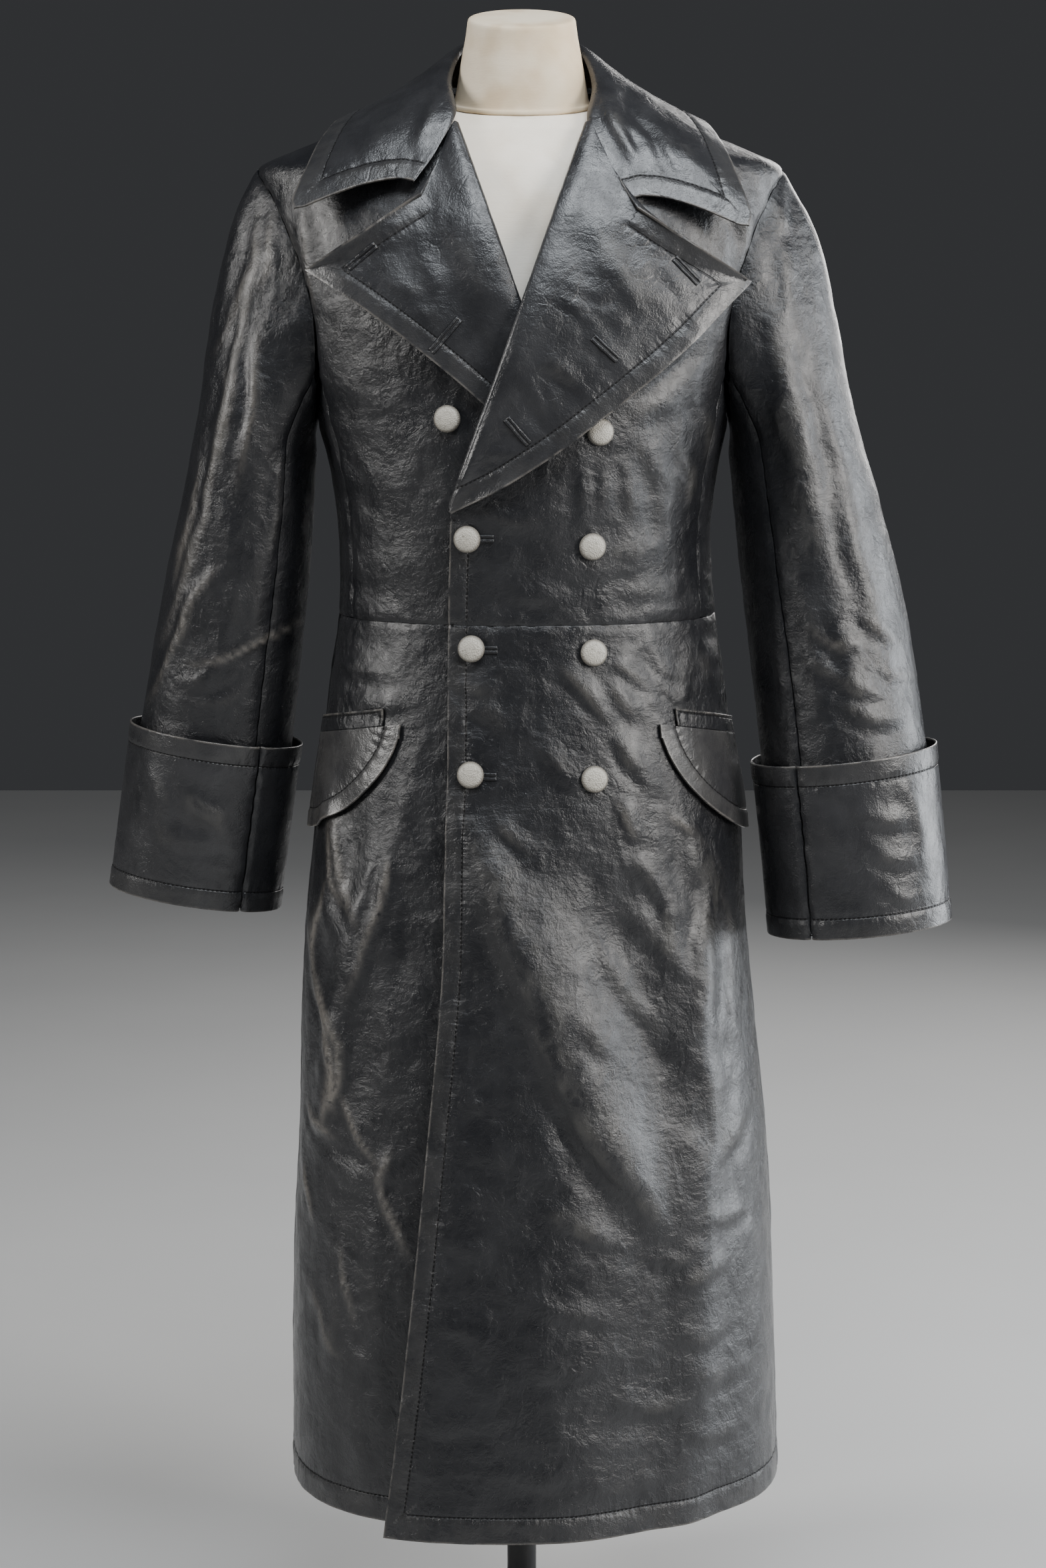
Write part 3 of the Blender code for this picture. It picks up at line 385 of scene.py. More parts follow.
FRONT_CREASES = creases_of(
    # left skirt: the long fold from the front edge to the side, with a trough below it
    (-56, 862, -4, 738, 40, 622, 13, 6.2), (22, 660, 72, 566, 130, 482, 12, 6),
    (10, 620, 62, 525, 116, 440, 11, -2.6), (48, 682, 62, 662, 80, 638, 7, 2.6),
    # left skirt: shorter folds slanting the same way, and the upright one that turns to the side
    (30, 996, 56, 968, 78, 936, 6.5, 2.8), (74, 978, 89, 959, 111, 938, 6.6, 2.4),
    (72, 992, 100, 977, 116, 958, 6.6, 2), (133, 853, 143, 844, 153, 833, 5, 2),
    (148, 1008, 150, 984, 144, 956, 7.4, 2), (162, 1004, 166, 982, 162, 960, 7.4, 1.8),
    (86, 928, 99, 905, 114, 880, 7, 3.2), (82, 868, 94, 850, 108, 836, 6, 3),
    (86, 817, 118, 790, 140, 726, 9, 4), (78, 772, 116, 748, 158, 698, 8, 3),
    (60, 740, 96, 690, 140, 640, 9, 2.6), (138, 850, 168, 770, 153, 640, 9, 4),
    (176, 810, 190, 720, 186, 640, 7, 2.2), (166, 640, 176, 590, 172, 530, 8, 2.2),
    (-22, 852, -8, 838, 10, 818, 7, 2.6), (-46, 964, -30, 949, -10, 926, 7.5, 2.6),
    (-54, 978, -38, 970, -16, 966, 7.4, 2), (6, 930, 34, 902, 50, 872, 9, 2),
    (115, 1005, 130, 985, 152, 980, 7.4, 1.8), (112, 985, 132, 966, 150, 950, 7.4, 2),
    # left skirt: short creases lower down, towards the side and in from the front edge
    (180, 535, 194, 560, 206, 582, 8, 3), (137, 433, 165, 438, 190, 454, 7.4, 3),
    (100, 470, 135, 452, 172, 470, 7.5, 2), (74, 347, 122, 322, 189, 347, 8, 2.2),
    (26, 330, 72, 312, 122, 304, 10, -1.6), (130, 395, 160, 380, 196, 392, 8, 2),
    (7, 513, 53, 491, 108, 465, 9, 2.6), (-73, 483, -52, 476, -31, 463, 8, 1.4),
    (-74, 409, -52, 400, -28, 396, 8, 1.4), (-60, 610, -40, 600, -12, 604, 8, 1.2),
    (-52, 560, -10, 548, 36, 528, 11, 1.4), (-40, 440, -4, 432, 30, 414, 10, 1.4),
    (18, 430, 50, 415, 90, 402, 8.5, 1.8), (0, 376, 36, 368, 76, 374, 9, 1.5),
    (-90, 330, -60, 318, -20, 322, 9, 1.4), (-30, 280, 10, 270, 52, 278, 8.5, 1.4),
    (50, 265, 95, 255, 150, 268, 9, 1.8), (152, 300, 178, 288, 205, 296, 8, 2),
    (160, 490, 186, 484, 208, 494, 8, 2.2), (150, 352, 180, 342, 208, 350, 8, 1.8),
    # right skirt: sharp worn lines towards the side, meeting in points
    (-173, 852, -164, 800, -148, 748, 4.8, 3), (-176, 850, -174, 800, -157, 766, 4.2, 2.4),
    (-122, 822, -130, 776, -161, 684, 4.8, 4), (-175, 790, -191, 737, -186, 688, 4.2, 2.6),
    (-189, 704, -178, 667, -165, 638, 4.2, 2.8), (-166, 652, -169, 612, -185, 560, 4.5, 3.4),
    (-192, 692, -178, 640, -182, 564, 4, 2.4), (-172, 648, -175, 606, -171, 574, 3.8, 2),
    (-198, 582, -186, 562, -168, 553, 4.5, 2.6), (-180, 546, -158, 540, -136, 541, 8, -2.6),
    (-168, 598, -151, 567, -129, 534, 4.2, 2.4), (-118, 552, -127, 538, -136, 520, 4.8, 3),
    (-138, 534, -120, 497, -102, 455, 4.2, 2.6), (-202, 520, -198, 496, -191, 472, 4.2, 2),
    (-140, 478, -134, 410, -135, 339, 9, 1.6), (-182, 500, -172, 420, -176, 330, 10, 1.8),
    (-112, 700, -118, 640, -130, 590, 9, 1.4), (-100, 800, -104, 740, -116, 690, 10, -2.2),
    (-95, 905, -102, 860, -120, 815, 8, 1.6), (-165, 990, -142, 978, -112, 985, 7.6, 1.8),
    (-150, 960, -128, 952, -98, 962, 7.6, 1.6), (-152, 300, -146, 262, -150, 222, 9, 1.6),
    (-196, 420, -184, 380, -160, 352, 5.5, 1.6), (-166, 460, -160, 425, -148, 390, 5.2, 1.5),
    # left chest: pulled towards the top button and the armhole
    (86, 1232, 120, 1258, 160, 1287, 9, 2.6), (92, 1214, 128, 1224, 172, 1252, 10, 2.4),
    (88, 1190, 122, 1166, 148, 1126, 11, 2.6), (80, 1180, 94, 1148, 98, 1104, 7, 2),
    (48, 1166, 51, 1138, 47, 1112, 7.4, 2), (136, 1190, 150, 1160, 158, 1110, 9, 2.2),
    (24, 1086, 80, 1076, 140, 1092, 8, 1.6), (84, 1060, 116, 1052, 150, 1058, 7.4, 2),
    (-20, 1062, 12, 1052, 44, 1056, 7.6, 1.4), (-36, 1130, -10, 1118, 22, 1122, 7, 1.3),
    (62, 1176, 70, 1150, 66, 1118, 7.4, 2), (104, 1176, 126, 1136, 132, 1096, 8, 2.4),
    (100, 1248, 134, 1272, 166, 1312, 8, 2.4), (150, 1230, 164, 1200, 168, 1160, 7.6, 2.2),
    (60, 1098, 96, 1090, 132, 1106, 7.6, 2), (98, 1040, 126, 1036, 160, 1044, 7.4, 1.8),
    # right chest: almost smooth
    (-170, 1170, -130, 1150, -90, 1156, 12, 1.4), (-160, 1080, -125, 1070, -85, 1078, 10, 1.2),
    (-176, 1260, -150, 1235, -120, 1225, 12, 1.4),
    # shoulders
    (-215, 1405, -205, 1360, -208, 1310, 7, 2.2), (-196, 1400, -192, 1350, -186, 1300, 6, 1.8),
    (205, 1410, 198, 1370, 200, 1320, 7, 2.4), (186, 1412, 192, 1388, 208, 1372, 7, 2.2),
)
BACK_CREASES = creases_of(
    (-150, 1210, -110, 1240, -60, 1245, 12, 2.2), (155, 1205, 118, 1228, 70, 1236, 13, 2.4),
    (-90, 1060, -30, 1048, 50, 1056, 8, 1.8), (60, 1090, 100, 1080, 140, 1088, 8, 1.8),
    (-150, 1110, -120, 1085, -80, 1080, 9, 2), (-180, 1370, -150, 1330, -140, 1270, 11, 2.2),
    (185, 1365, 158, 1320, 150, 1265, 10, 2.2), (-130, 930, -110, 840, -130, 740, 12, 3),
    (-20, 960, 4, 860, -10, 740, 13, 2.8), (110, 940, 128, 850, 105, 730, 11, 3),
    (-160, 640, -120, 600, -70, 590, 10, 2.2), (50, 570, 100, 545, 165, 560, 10, 2.4),
    (-120, 430, -60, 410, 10, 420, 10, 2.2), (70, 360, 110, 340, 160, 352, 9, 2),
    (-170, 330, -130, 305, -80, 310, 9, 1.8),
)


class Wave(NamedTuple):
    """Soft noise: its height, its feature size and its seed."""
    height: float
    feature: float
    seed: float


BODY_WAVES = (Wave(0.0010, 0.075, 3.1), Wave(0.0005, 0.028, 8.7))
WANDER_X = Wave(0.006, 0.04, 11.3)
WANDER_Z = Wave(0.006, 0.04, 47.9)
CREASE_STEPS = 12
CREASE_REACH = 4
TAPER_END = 0.02
TAPER_POWER = 0.8
GENTLE_SIDE = 1.5
STEEP_SIDE = 0.8
TROUGH_DEPTH = 0.36
TROUGH_AT = -1.7
TROUGH_WIDTH = 0.9
SOFT_WIDTH = 0.0072
SHARP_FADE = 0.003
RUB_WIDTH = 0.0025
FRONT_FADE = 0.08
FACING_RISE = 0.003
FACING_TURN = 0.6


def soft_step(share):
    """A soft step from 0 to 1."""
    share = np.clip(share, 0, 1)
    return share * share * (3 - 2 * share)


def bent(start, bend, end, share):
    """A place on a curve from start to end that is drawn towards bend."""
    return (1 - share) ** 2 * start + 2 * share * (1 - share) * bend + share ** 2 * end


def ripple(points, wave):
    """How far a wave moves points up or down."""
    places = (points.reshape(-1, 3) / wave.feature + wave.seed).tolist()
    return wave.height * np.array([noise.noise(place) for place in places]).reshape(points.shape[:-1])


def ridge(across, crease):
    """Height of a crease across it: a gentle side, and a steep side with a trough at its foot."""
    gentle = np.exp(-(across / GENTLE_SIDE) ** 2)
    steep = np.exp(-(across / STEEP_SIDE) ** 2)
    trough = TROUGH_DEPTH * np.exp(-((across - TROUGH_AT) / TROUGH_WIDTH) ** 2)
    return crease.height * (np.where(across > 0, gentle, steep) - trough)


def rub(across, crease):
    """How far the wax is rubbed off a crease: only sharp ones are pale, along their crest."""
    sharp = np.clip((SOFT_WIDTH - crease.width) / SHARP_FADE, 0, 1) * (crease.height > 0)
    return sharp * np.exp(-(across * crease.width / RUB_WIDTH) ** 2)


def crease_height(points, creases, profile=ridge):
    """How far the creases of a table lift points, or rub them, each along a bent line."""
    x = points[..., 0] + ripple(points, WANDER_X)
    z = points[..., 2] + ripple(points, WANDER_Z)
    total = np.zeros(x.shape)
    for crease in creases:
        start = np.array((crease.x1, crease.z1))
        end = np.array((crease.x3, crease.z3))
        bend = 2 * np.array((crease.x2, crease.z2)) - (start + end) / 2
        share = np.linspace(0, 1, CREASE_STEPS + 1)[:, None]
        path = bent(start, bend, end, share)
        low = path.min(axis=0) - CREASE_REACH * crease.width
        high = path.max(axis=0) + CREASE_REACH * crease.width
        near = (x > low[0]) & (x < high[0]) & (z > low[1]) & (z < high[1])
        if not near.any():
            continue
        spot_x, spot_z = x[near], z[near]
        nearest = np.full(spot_x.shape, np.inf)
        offset = np.zeros(spot_x.shape)
        along = np.zeros(spot_x.shape)
        for step in range(CREASE_STEPS):
            run = path[step + 1] - path[step]
            reach_x, reach_z = spot_x - path[step, 0], spot_z - path[step, 1]
            part = np.clip((reach_x * run[0] + reach_z * run[1]) / (run @ run), 0, 1)
            gap = np.hypot(reach_x - part * run[0], reach_z - part * run[1])
            side = np.sign(run[0] * reach_z - run[1] * reach_x)
            closer = gap < nearest
            nearest = np.where(closer, gap, nearest)
            offset = np.where(closer, gap * side, offset)
            along = np.where(closer, (step + part) / CREASE_STEPS, along)
        taper = np.sin(np.pi * np.clip(along, TAPER_END, 1 - TAPER_END)) ** TAPER_POWER
        total[near] += taper * profile(offset / crease.width, crease)
    return total


def fold_height(angle, z):
    """How far the skirt's folds move it out at a turn angle and height."""
    total = 0.0
    for fold in SKIRT_FOLDS:
        along = (fold.z_top - z) / (fold.z_top - fold.z_bottom)
        centre = fold.angle_top + (fold.angle_bottom - fold.angle_top) * np.clip(along, 0, 1)
        across = np.radians((angle - centre + 180) % 360 - 180) * TYPICAL_RADIUS / fold.width
        strength = soft_step(along / FOLD_RISE)
        if fold.z_bottom > HEM_Z:
            strength = strength * (1 - soft_step((along - FOLD_FALL) / (1 - FOLD_FALL)))
        total = total + fold.depth * strength * np.exp(-across * across)
    return total


def outline(angle, z):
    """The coat's body: turn angle 0 is the wearer's left, 90 the front, 180 the right, 270 the back."""
    angle, z = np.broadcast_arrays(np.asarray(angle, float), np.asarray(z, float))
    ring = read(COAT_RINGS, z)
    cosine, sine = np.cos(np.radians(angle)), np.sin(np.radians(angle))
    x = np.where(cosine > 0, ring.left, ring.right) * np.copysign(np.abs(cosine) ** (2 / ring.corner), cosine)
    y = np.where(sine > 0, ring.front, ring.back) * -np.copysign(np.abs(sine) ** (2 / ring.corner), sine)
    grow = np.where(z < WAIST_Z, 1 + fold_height(angle, z) / np.hypot(x, y), 1.0)
    return np.stack([x * grow, y * grow, z], axis=-1)


def unit(vectors):
    return vectors / np.linalg.norm(vectors, axis=-1, keepdims=True)


def facing(angle, z):
    """The outward direction of the body."""
    low, high = np.maximum(z - FACING_RISE, HEM_Z), np.minimum(z + FACING_RISE, NECK_Z)
    across = outline(angle + FACING_TURN, z) - outline(angle - FACING_TURN, z)
    return unit(np.cross(outline(angle, high) - outline(angle, low), across))


def in_front(points):
    """1 on the front of the body and 0 on its back, with a soft change at the sides."""
    return soft_step(0.5 - points[..., 1] / FRONT_FADE)


def slack(points):
    """The soft uneven lie of the leather, with its creases in front and behind."""
    front = in_front(points)
    lift = front * crease_height(points, FRONT_CREASES)
    lift += (1 - front) * crease_height(points, BACK_CREASES)
    return lift + sum(ripple(points, wave) for wave in BODY_WAVES)


def coat(angle, z, out=0.0):
    """A point of the body as it hangs, moved out along its facing."""
    points = outline(angle, z)
    return points + facing(angle, z) * (slack(points) + out)[..., None]


def leather_finish(name, deep, mid, scuffed, bare, wrinkled=1.0):
    """Waxed leather: clouded colour, fine grain, smeared gloss, scuffed ridges, bare edges, and sunk stitch lines
    painted near-black as shade.
    """
    finish, shader, spot = new_finish(name)
    edge, stitch, run, raised, worn = (
        spot.node("ShaderNodeAttribute", {"attribute_name": key}, {}, "Fac")
        for key in ("from_edge", "from_stitch", "along_stitch", "raised", "worn"))
    drift = spot.warped(0.030, 0.016)
    clouds = drift.noise(0.055, 5, 0.60).step(0.26, 0.76)
    smears = drift.stretched((1, 1, 0.45)).noise(0.017, 5, 0.62).step(0.36, 0.68)
    grain = spot.node("ShaderNodeTexVoronoi", {"feature": "SMOOTH_F1"},
                      {"Vector": spot, "Scale": 1 / 0.0013, "Smoothness": 0.7})
    pebble = drift.noise(0.0075, 6, 0.68)
    cells = spot.node("ShaderNodeTexVoronoi", {"feature": "DISTANCE_TO_EDGE"},
                      {"Vector": spot.warped(0.018, 0.011), "Scale": 1 / 0.015})
    lines = (1 - cells.step(0.0, 0.11)) * spot.noise(0.045, 2).step(0.46, 0.66)
    crumple = drift.node("ShaderNodeTexNoise", {"noise_type": "RIDGED_MULTIFRACTAL"},
                         {"Vector": drift.stretched((1, 1, 0.7)), "Scale": 1 / 0.040, "Detail": 3.0,
                          "Roughness": 0.5, "Offset": 0.9, "Gain": 1.4})
    rumple = drift.stretched((0.62, 0.62, 1.05)).noise(0.022, 5, 0.58)
    groove = 1 - stitch.size().step(0.0002, 0.0012)
    gather = run.node("ShaderNodeTexNoise", {"noise_dimensions": "1D"}, {"W": run, "Scale": 150.0})
    pucker = (gather - 0.5) * (1 - stitch.size().step(0.001, 0.011))
    rubbed_line = worn * drift.noise(0.007, 4, 0.65).step(0.26, 0.54) * 0.85
    rubbed_edge = (1 - edge.step(0.0006, 0.0022)) * spot.noise(0.012, 3).step(0.30, 0.60) * 0.55
    rubbed_ridge = raised.step(0.40, 1.5) * smears * 0.6
    band = (1 - stitch.step(-0.0015, 0.0)) * spot.noise(0.020, 3).step(0.25, 0.70) * 0.22
    tone = rubbed_ridge.math("MAXIMUM", rubbed_ridge, band).between(clouds.between(deep, mid), scuffed)
    tone = rubbed_edge.math("MAXIMUM", rubbed_edge, rubbed_line).between(tone, bare)
    # The stitch grooves, and the slits and borders of buttonholes, are painted near-black: painted shade in these
    # recesses.
    shader["Base Color"].take((0.85 * groove).between(tone, GROOVE_SHADE_AND_THREAD_BLACK))
    shader["Roughness"].take(0.225 + 0.06 * clouds + 0.09 * smears + 0.2 * groove)
    shader["Coat Weight"].take(0.16 * (1 - smears))
    shader["Coat Roughness"].take(0.22)
    height = wrinkled * (0.00115 * pebble + 0.0018 * rumple + 0.00070 * crumple) + 0.00014 * grain
    height = height - 0.00016 * lines - 0.00060 * groove + wrinkled * 0.0014 * pucker
    shader["Normal"].take(height.relief())
    return finish


SCUFFED_BLACK = (0.062, 0.060, 0.056, 1)
BARE_BLACK = (0.150, 0.138, 0.124, 1)
# Near-black: painted shade in stitch grooves and buttonhole slits, and also the dark ply of the black thread.
GROOVE_SHADE_AND_THREAD_BLACK = (0.004, 0.004, 0.005, 1)
THREAD_PALE = (0.014, 0.013, 0.013, 1)
black_leather = leather_finish("black_leather", deep=(0.0095, 0.0100, 0.0118, 1),
                               mid=(0.0165, 0.0170, 0.0190, 1), scuffed=SCUFFED_BLACK, bare=BARE_BLACK)
thread_finish, shader, spot = new_finish("black_thread")
ply = spot.noise(0.0009, 2).step(0.35, 0.65)
shader["Base Color"].take(ply.between(GROOVE_SHADE_AND_THREAD_BLACK, THREAD_PALE))
shader["Roughness"].take(0.75 + 0.2 * ply)
shader["Specular IOR Level"].take(0.2)
shader["Normal"].take((ply * 0.00008).relief())


class Turned(NamedTuple):
    """A turned, topstitched edge: how far in its stitches are, and the share of the edge that is turned."""
    stitch: float
    share: float = 1.0


class SeamWave(NamedTuple):
    """Gathers along a seam: their pitch, and the sway that spaces them unevenly."""
    pitch: float
    sway: float
    sway_pitch: float


SEWN = "sewn"
SEWN_WAVE = SeamWave(0.0041, 2.5, 0.017)
STITCHED_WAVE = SeamWave(0.0019, 2.0, 0.013)
SEWN_GATHER = 0.5
SEAM_SINK = 0.0011
SEAM_REACH = 0.0034
TURNED_EXTRA = 0.0012
BAND_FADE = 0.004
STITCH_DIP = 0.0005
STITCH_DIP_REACH = 0.0028
PUCKER = 0.00028
PUCKER_REACH = 0.008
FINE_WAVE = Wave(0.00055, 0.016, 21.7)
FAR_OFF = 0.5
RIM_ROUND = 0.0007
RIM_ANGLE = 50
THREAD_LIFT = 0.00008
STITCH_PITCH = 0.0042
STITCH_HALF = (0.00155, 0.00034, 0.00028)
STITCH_AHEAD = 0.0008
RAISED_FULL = 0.002
RIM_STEP = 0.001
END_GAP = 0.002
PAST_END = 0.1


def ways_along(line):
    """The way along a line to each of its points."""
    return np.concatenate([[0], np.cumsum(np.linalg.norm(np.diff(line, axis=0), axis=1))])


def at_way(ways, run, values):
    """Places or directions at ways along a line."""
    return np.stack([np.interp(ways, run, values[:, axis]) for axis in range(3)], axis=-1)


def gathers(way, wave):
    """Uneven gathers along a seam, from -1 to 1."""
    return np.sin(way / wave.pitch + wave.sway * np.sin(way / wave.sway_pitch))


def way_to(points, rim):
    """Distance of each point from an edge, and the way along it; points past its ends count as far off."""
    run = ways_along(rim)
    fine = np.linspace(0, run[-1], max(int(run[-1] / RIM_STEP), 2))
    line = at_way(fine, run, rim)
    tree = kdtree.KDTree(len(line))
    for index, place in enumerate(line.tolist()):
        tree.insert(place, index)
    tree.balance()
    found = np.array([tree.find(place)[1:] for place in points.reshape(-1, 3).tolist()])
    index, gap = found[:, 0].astype(int), found[:, 1]
    past = ((index == 0) | (index == len(fine) - 1)) & (gap > END_GAP)
    return (gap + PAST_END * past).reshape(points.shape[:2]), fine[index].reshape(points.shape[:2])


def from_side(grid, side):
    """A grid turned so that an edge is its first column."""
    if side in ("bottom", "top"):
        grid = np.swapaxes(grid, 0, 1)
    return grid[:, ::-1] if side in ("right", "top") else grid


def outward(points, inside):
    """Surface directions of a grid, away from a place inside."""
    normal = unit(np.cross(np.gradient(points, axis=1), np.gradient(points, axis=0)) + 1e-12)
    away = points - np.where(np.isnan(inside), points, inside)
    return normal * (1 if (normal * away).sum() > 0 else -1)


def sew(thread, line, up):
    """Small stitches along a line on the leather."""
    run = ways_along(line)
    count = int(run[-1] / STITCH_PITCH)
    ways = np.linspace(0, run[-1], count + 1)[:-1] + STITCH_PITCH / 2
    heres, aheads = at_way(ways, run, line), at_way(np.minimum(ways + STITCH_AHEAD, run[-1]), run, line)
    for here, ahead, rise in zip(map(Vector, heres), map(Vector, aheads), map(Vector, at_way(ways, run, up))):
        way = (ahead - here).normalized()
        if not way.length:
            continue
        aside = rise.cross(way).normalized()
        turn = Matrix([way * STITCH_HALF[0], aside * STITCH_HALF[1], way.cross(aside) * STITCH_HALF[2]])
        place = Matrix.Translation(here) @ turn.transposed().to_4x4()
        bmesh.ops.create_icosphere(thread, subdivisions=1, radius=1, matrix=place)


def flat_grid(name, columns, rows, bunch):
    """A flat grid, and its shares across and along, with lines drawn closer to its edges by bunch."""
    cut = bmesh.new()
    bmesh.ops.create_grid(cut, x_segments=columns, y_segments=rows, size=0.5)
    mesh = mesh_of(name, cut)
    places = np.empty(len(mesh.vertices) * 3)
    mesh.vertices.foreach_get("co", places)
    places = places.reshape(rows + 1, columns + 1, 3) + 0.5
    across, along = (places[..., axis] - bunch[axis] * np.sin(2 * np.pi * places[..., axis]) / (2 * np.pi)
                     for axis in (0, 1))
    return mesh, across, along


def work_edges(points, edges):
    """How a piece's edges lift it, its ways from rims and stitch lines, and the way from each stitch line."""
    grid = points.shape[:2]
    lift, along_stitch = np.zeros(grid), np.zeros(grid)
    from_edge, from_stitch = np.full(grid, FAR_OFF), np.full(grid, FAR_OFF)
    turned = {}
    for side, kind in edges.items():
        rim = from_side(points, side)[:, 0]
        if kind == SEWN:
            distance, way = way_to(points, rim)
            depth = SEAM_SINK * (1 + SEWN_GATHER * gathers(way, SEWN_WAVE))
            lift -= depth * np.exp(-(distance / SEAM_REACH) ** 2)
        else:
            distance, way = way_to(points, rim[:int(kind.share * len(rim))])
            from_edge = np.minimum(from_edge, distance)
            turned[side] = distance - kind.stitch
            along_stitch = np.where(turned[side] < from_stitch, way, along_stitch)
            from_stitch = np.minimum(from_stitch, turned[side])
    if turned:
        lift += TURNED_EXTRA / 2 * soft_step(-from_stitch / BAND_FADE)
        lift -= STITCH_DIP * np.exp(-(from_stitch / STITCH_DIP_REACH) ** 2)
        lift += PUCKER * gathers(along_stitch, STITCHED_WAVE) * np.exp(-(from_stitch / PUCKER_REACH) ** 2)
    return lift, {"from_edge": from_edge, "from_stitch": from_stitch, "along_stitch": along_stitch}, turned


def stitch_line(side, turned, spots, ups):
    """Places and upward directions along the stitches of an edge, up to where another edge's stitches cross."""
    gaps, spots, ups = (from_side(grid, side) for grid in (turned[side], spots, ups))
    others = [from_side(other, side) for key, other in turned.items() if key != side]
    line, up = [], []
    for row, gap in enumerate(gaps):
        inner = np.argmax(gap >= 0)
        if inner == 0 or any(other[row, inner] < 0 for other in others):
            continue
        part = gap[inner] / (gap[inner] - gap[inner - 1])
        line.append(spots[row, inner] * (1 - part) + spots[row, inner - 1] * part)
        up.append(ups[row, inner])
    return np.array(line), np.array(up)


def panel(name, columns, rows, place, edges, flat, area, rests_on, inside=(0, 0, np.nan), bunch=(0.5, 0.4),
          creases=(), laid=(), finish=None, slot="black_leather", node=None, calm=0.0, shape=None):
    """A cut piece of leather: a fine grid laid on its form, with turned or sewn edges and a wall.

    creases are laid on it here; laid ones are in its place or shape already and only set its wear.
    """
    mesh, across, along = flat_grid(name, columns, rows, bunch)
    points = place(across, along)
    if shape is not None:
        points = shape(points)
    normal = outward(points, np.array(inside, float))
    lift, fields, turned = work_edges(points, edges)
    lift += (1 - calm) * ripple(points, FINE_WAVE)
    if creases:
        lift += crease_height(points, creases)
    seen = creases or laid or FRONT_CREASES
    shown = in_front(points) if seen is FRONT_CREASES else 1.0
    fields["raised"] = shown * crease_height(points, seen) / RAISED_FULL
    fields["worn"] = np.zeros(lift.shape) if creases else shown * crease_height(points, seen, rub)
    points = points + normal * lift[..., None]
    mesh.vertices.foreach_set("co", points.ravel())
    for key, values in fields.items():
        mesh.attributes.new(key, "FLOAT", "POINT").data.foreach_set("value", values.ravel())
    mesh.update()
    if (np.array([face.normal for face in mesh.polygons]) * normal[:-1, :-1].reshape(-1, 3)).sum() < 0:
        mesh.flip_normals()
    piece = add_piece(name, mesh, finish or black_leather, slot, node)
    wall = piece.modifiers.new("wall", "SOLIDIFY")
    wall.thickness = LEATHER
    wall.offset = 0.0
    rim = piece.modifiers.new("soft_rim", "BEVEL")
    rim.width = RIM_ROUND
    rim.segments = 2
    rim.limit_method = "ANGLE"
    rim.angle_limit = math.radians(RIM_ANGLE)
    if turned:
        thread = bmesh.new()
        for side in turned:
            line, up = stitch_line(side, turned, points + normal * (LEATHER / 2 + THREAD_LIFT), normal)
            if len(line) > 2:
                sew(thread, line, up)
        add_piece(name + "_stitches", mesh_of(name + "_stitches", thread), thread_finish, slot)


HALF_SEAM = 0.0002
SIDE_BODY_ANGLE = 25.0
ARMPIT_Z = 1.200
ARMHOLE_MID_Z = 1.315
ARMHOLE_ANGLE = 31.0
ARMHOLE_AT = 0.52
SHOULDER_AT = 0.78


def seam_turn(gap=HALF_SEAM):
    """The turn that leaves a gap on the body."""
    return math.degrees(gap / TYPICAL_RADIUS)


def armhole_floor(angle):
    """Height of the lower half of the armhole at a turn angle from the side."""
    share = np.sqrt(np.maximum(1 - (angle / ARMHOLE_ANGLE) ** 2, 0))
    return ARMHOLE_MID_Z - (ARMHOLE_MID_Z - ARMPIT_Z) * share


def outer_angle(z):
    """Where a front or the back ends at the side: side body seam, armhole, shoulder seam."""
    reach = np.where(z > ARMHOLE_MID_Z, SHOULDER_Z - ARMHOLE_MID_Z, ARMHOLE_MID_Z - ARMPIT_Z)
    eye = ARMHOLE_ANGLE * np.sqrt(np.maximum(1 - ((z - ARMHOLE_MID_Z) / reach) ** 2, 0))
    eye = np.where(z >= SHOULDER_Z, 0.0, eye)
    return np.where(z <= armhole_floor(SIDE_BODY_ANGLE), SIDE_BODY_ANGLE, eye)


def bodice_z(along):
    """Row heights from the waist seam by the widest part of the armhole and the shoulder to the neck."""
    lower = WAIST_Z + HALF_SEAM + (ARMHOLE_MID_Z - WAIST_Z - HALF_SEAM) * along / ARMHOLE_AT
    turn = np.clip((along - ARMHOLE_AT) / (SHOULDER_AT - ARMHOLE_AT), 0, 1) * np.pi / 2
    middle = ARMHOLE_MID_Z + (SHOULDER_Z - ARMHOLE_MID_Z) * np.sin(turn)
    upper = SHOULDER_Z + (NECK_Z - SHOULDER_Z) * (along - SHOULDER_AT) / (1 - SHOULDER_AT)
    return np.where(along < ARMHOLE_AT, lower, np.where(along < SHOULDER_AT, middle, upper))


def back_bodice(across, along):
    z = bodice_z(along)
    outer = outer_angle(z) + seam_turn()
    return coat(180 + outer + (180 - 2 * outer) * across, z)


panel("back_bodice_leather", 90, 120, back_bodice, {"left": SEWN, "right": SEWN, "bottom": SEWN, "top": SEWN},
      flat=(0.50, 0.50), area=0.212, rests_on=["form_torso"], bunch=(0.5, 0.0), node="back_bodice",
      laid=BACK_CREASES)


# Side bodies: a narrow panel under each arm, from the waist seam up to the armhole.
# The same black leather, sewn to the back and the front along upright seams.
def side_body(surface):
    def place(across, along):
        reach = SIDE_BODY_ANGLE - seam_turn(2 * HALF_SEAM)
        angle = -reach + 2 * reach * across
        low = WAIST_Z + HALF_SEAM
        return surface(angle, low + (armhole_floor(angle) - low) * along)
    return place


def on_right(angle, z, out=0.0):
    """A point over the right half, at a turn angle counted from the wearer's right."""
    return coat(180 - angle, z, out)


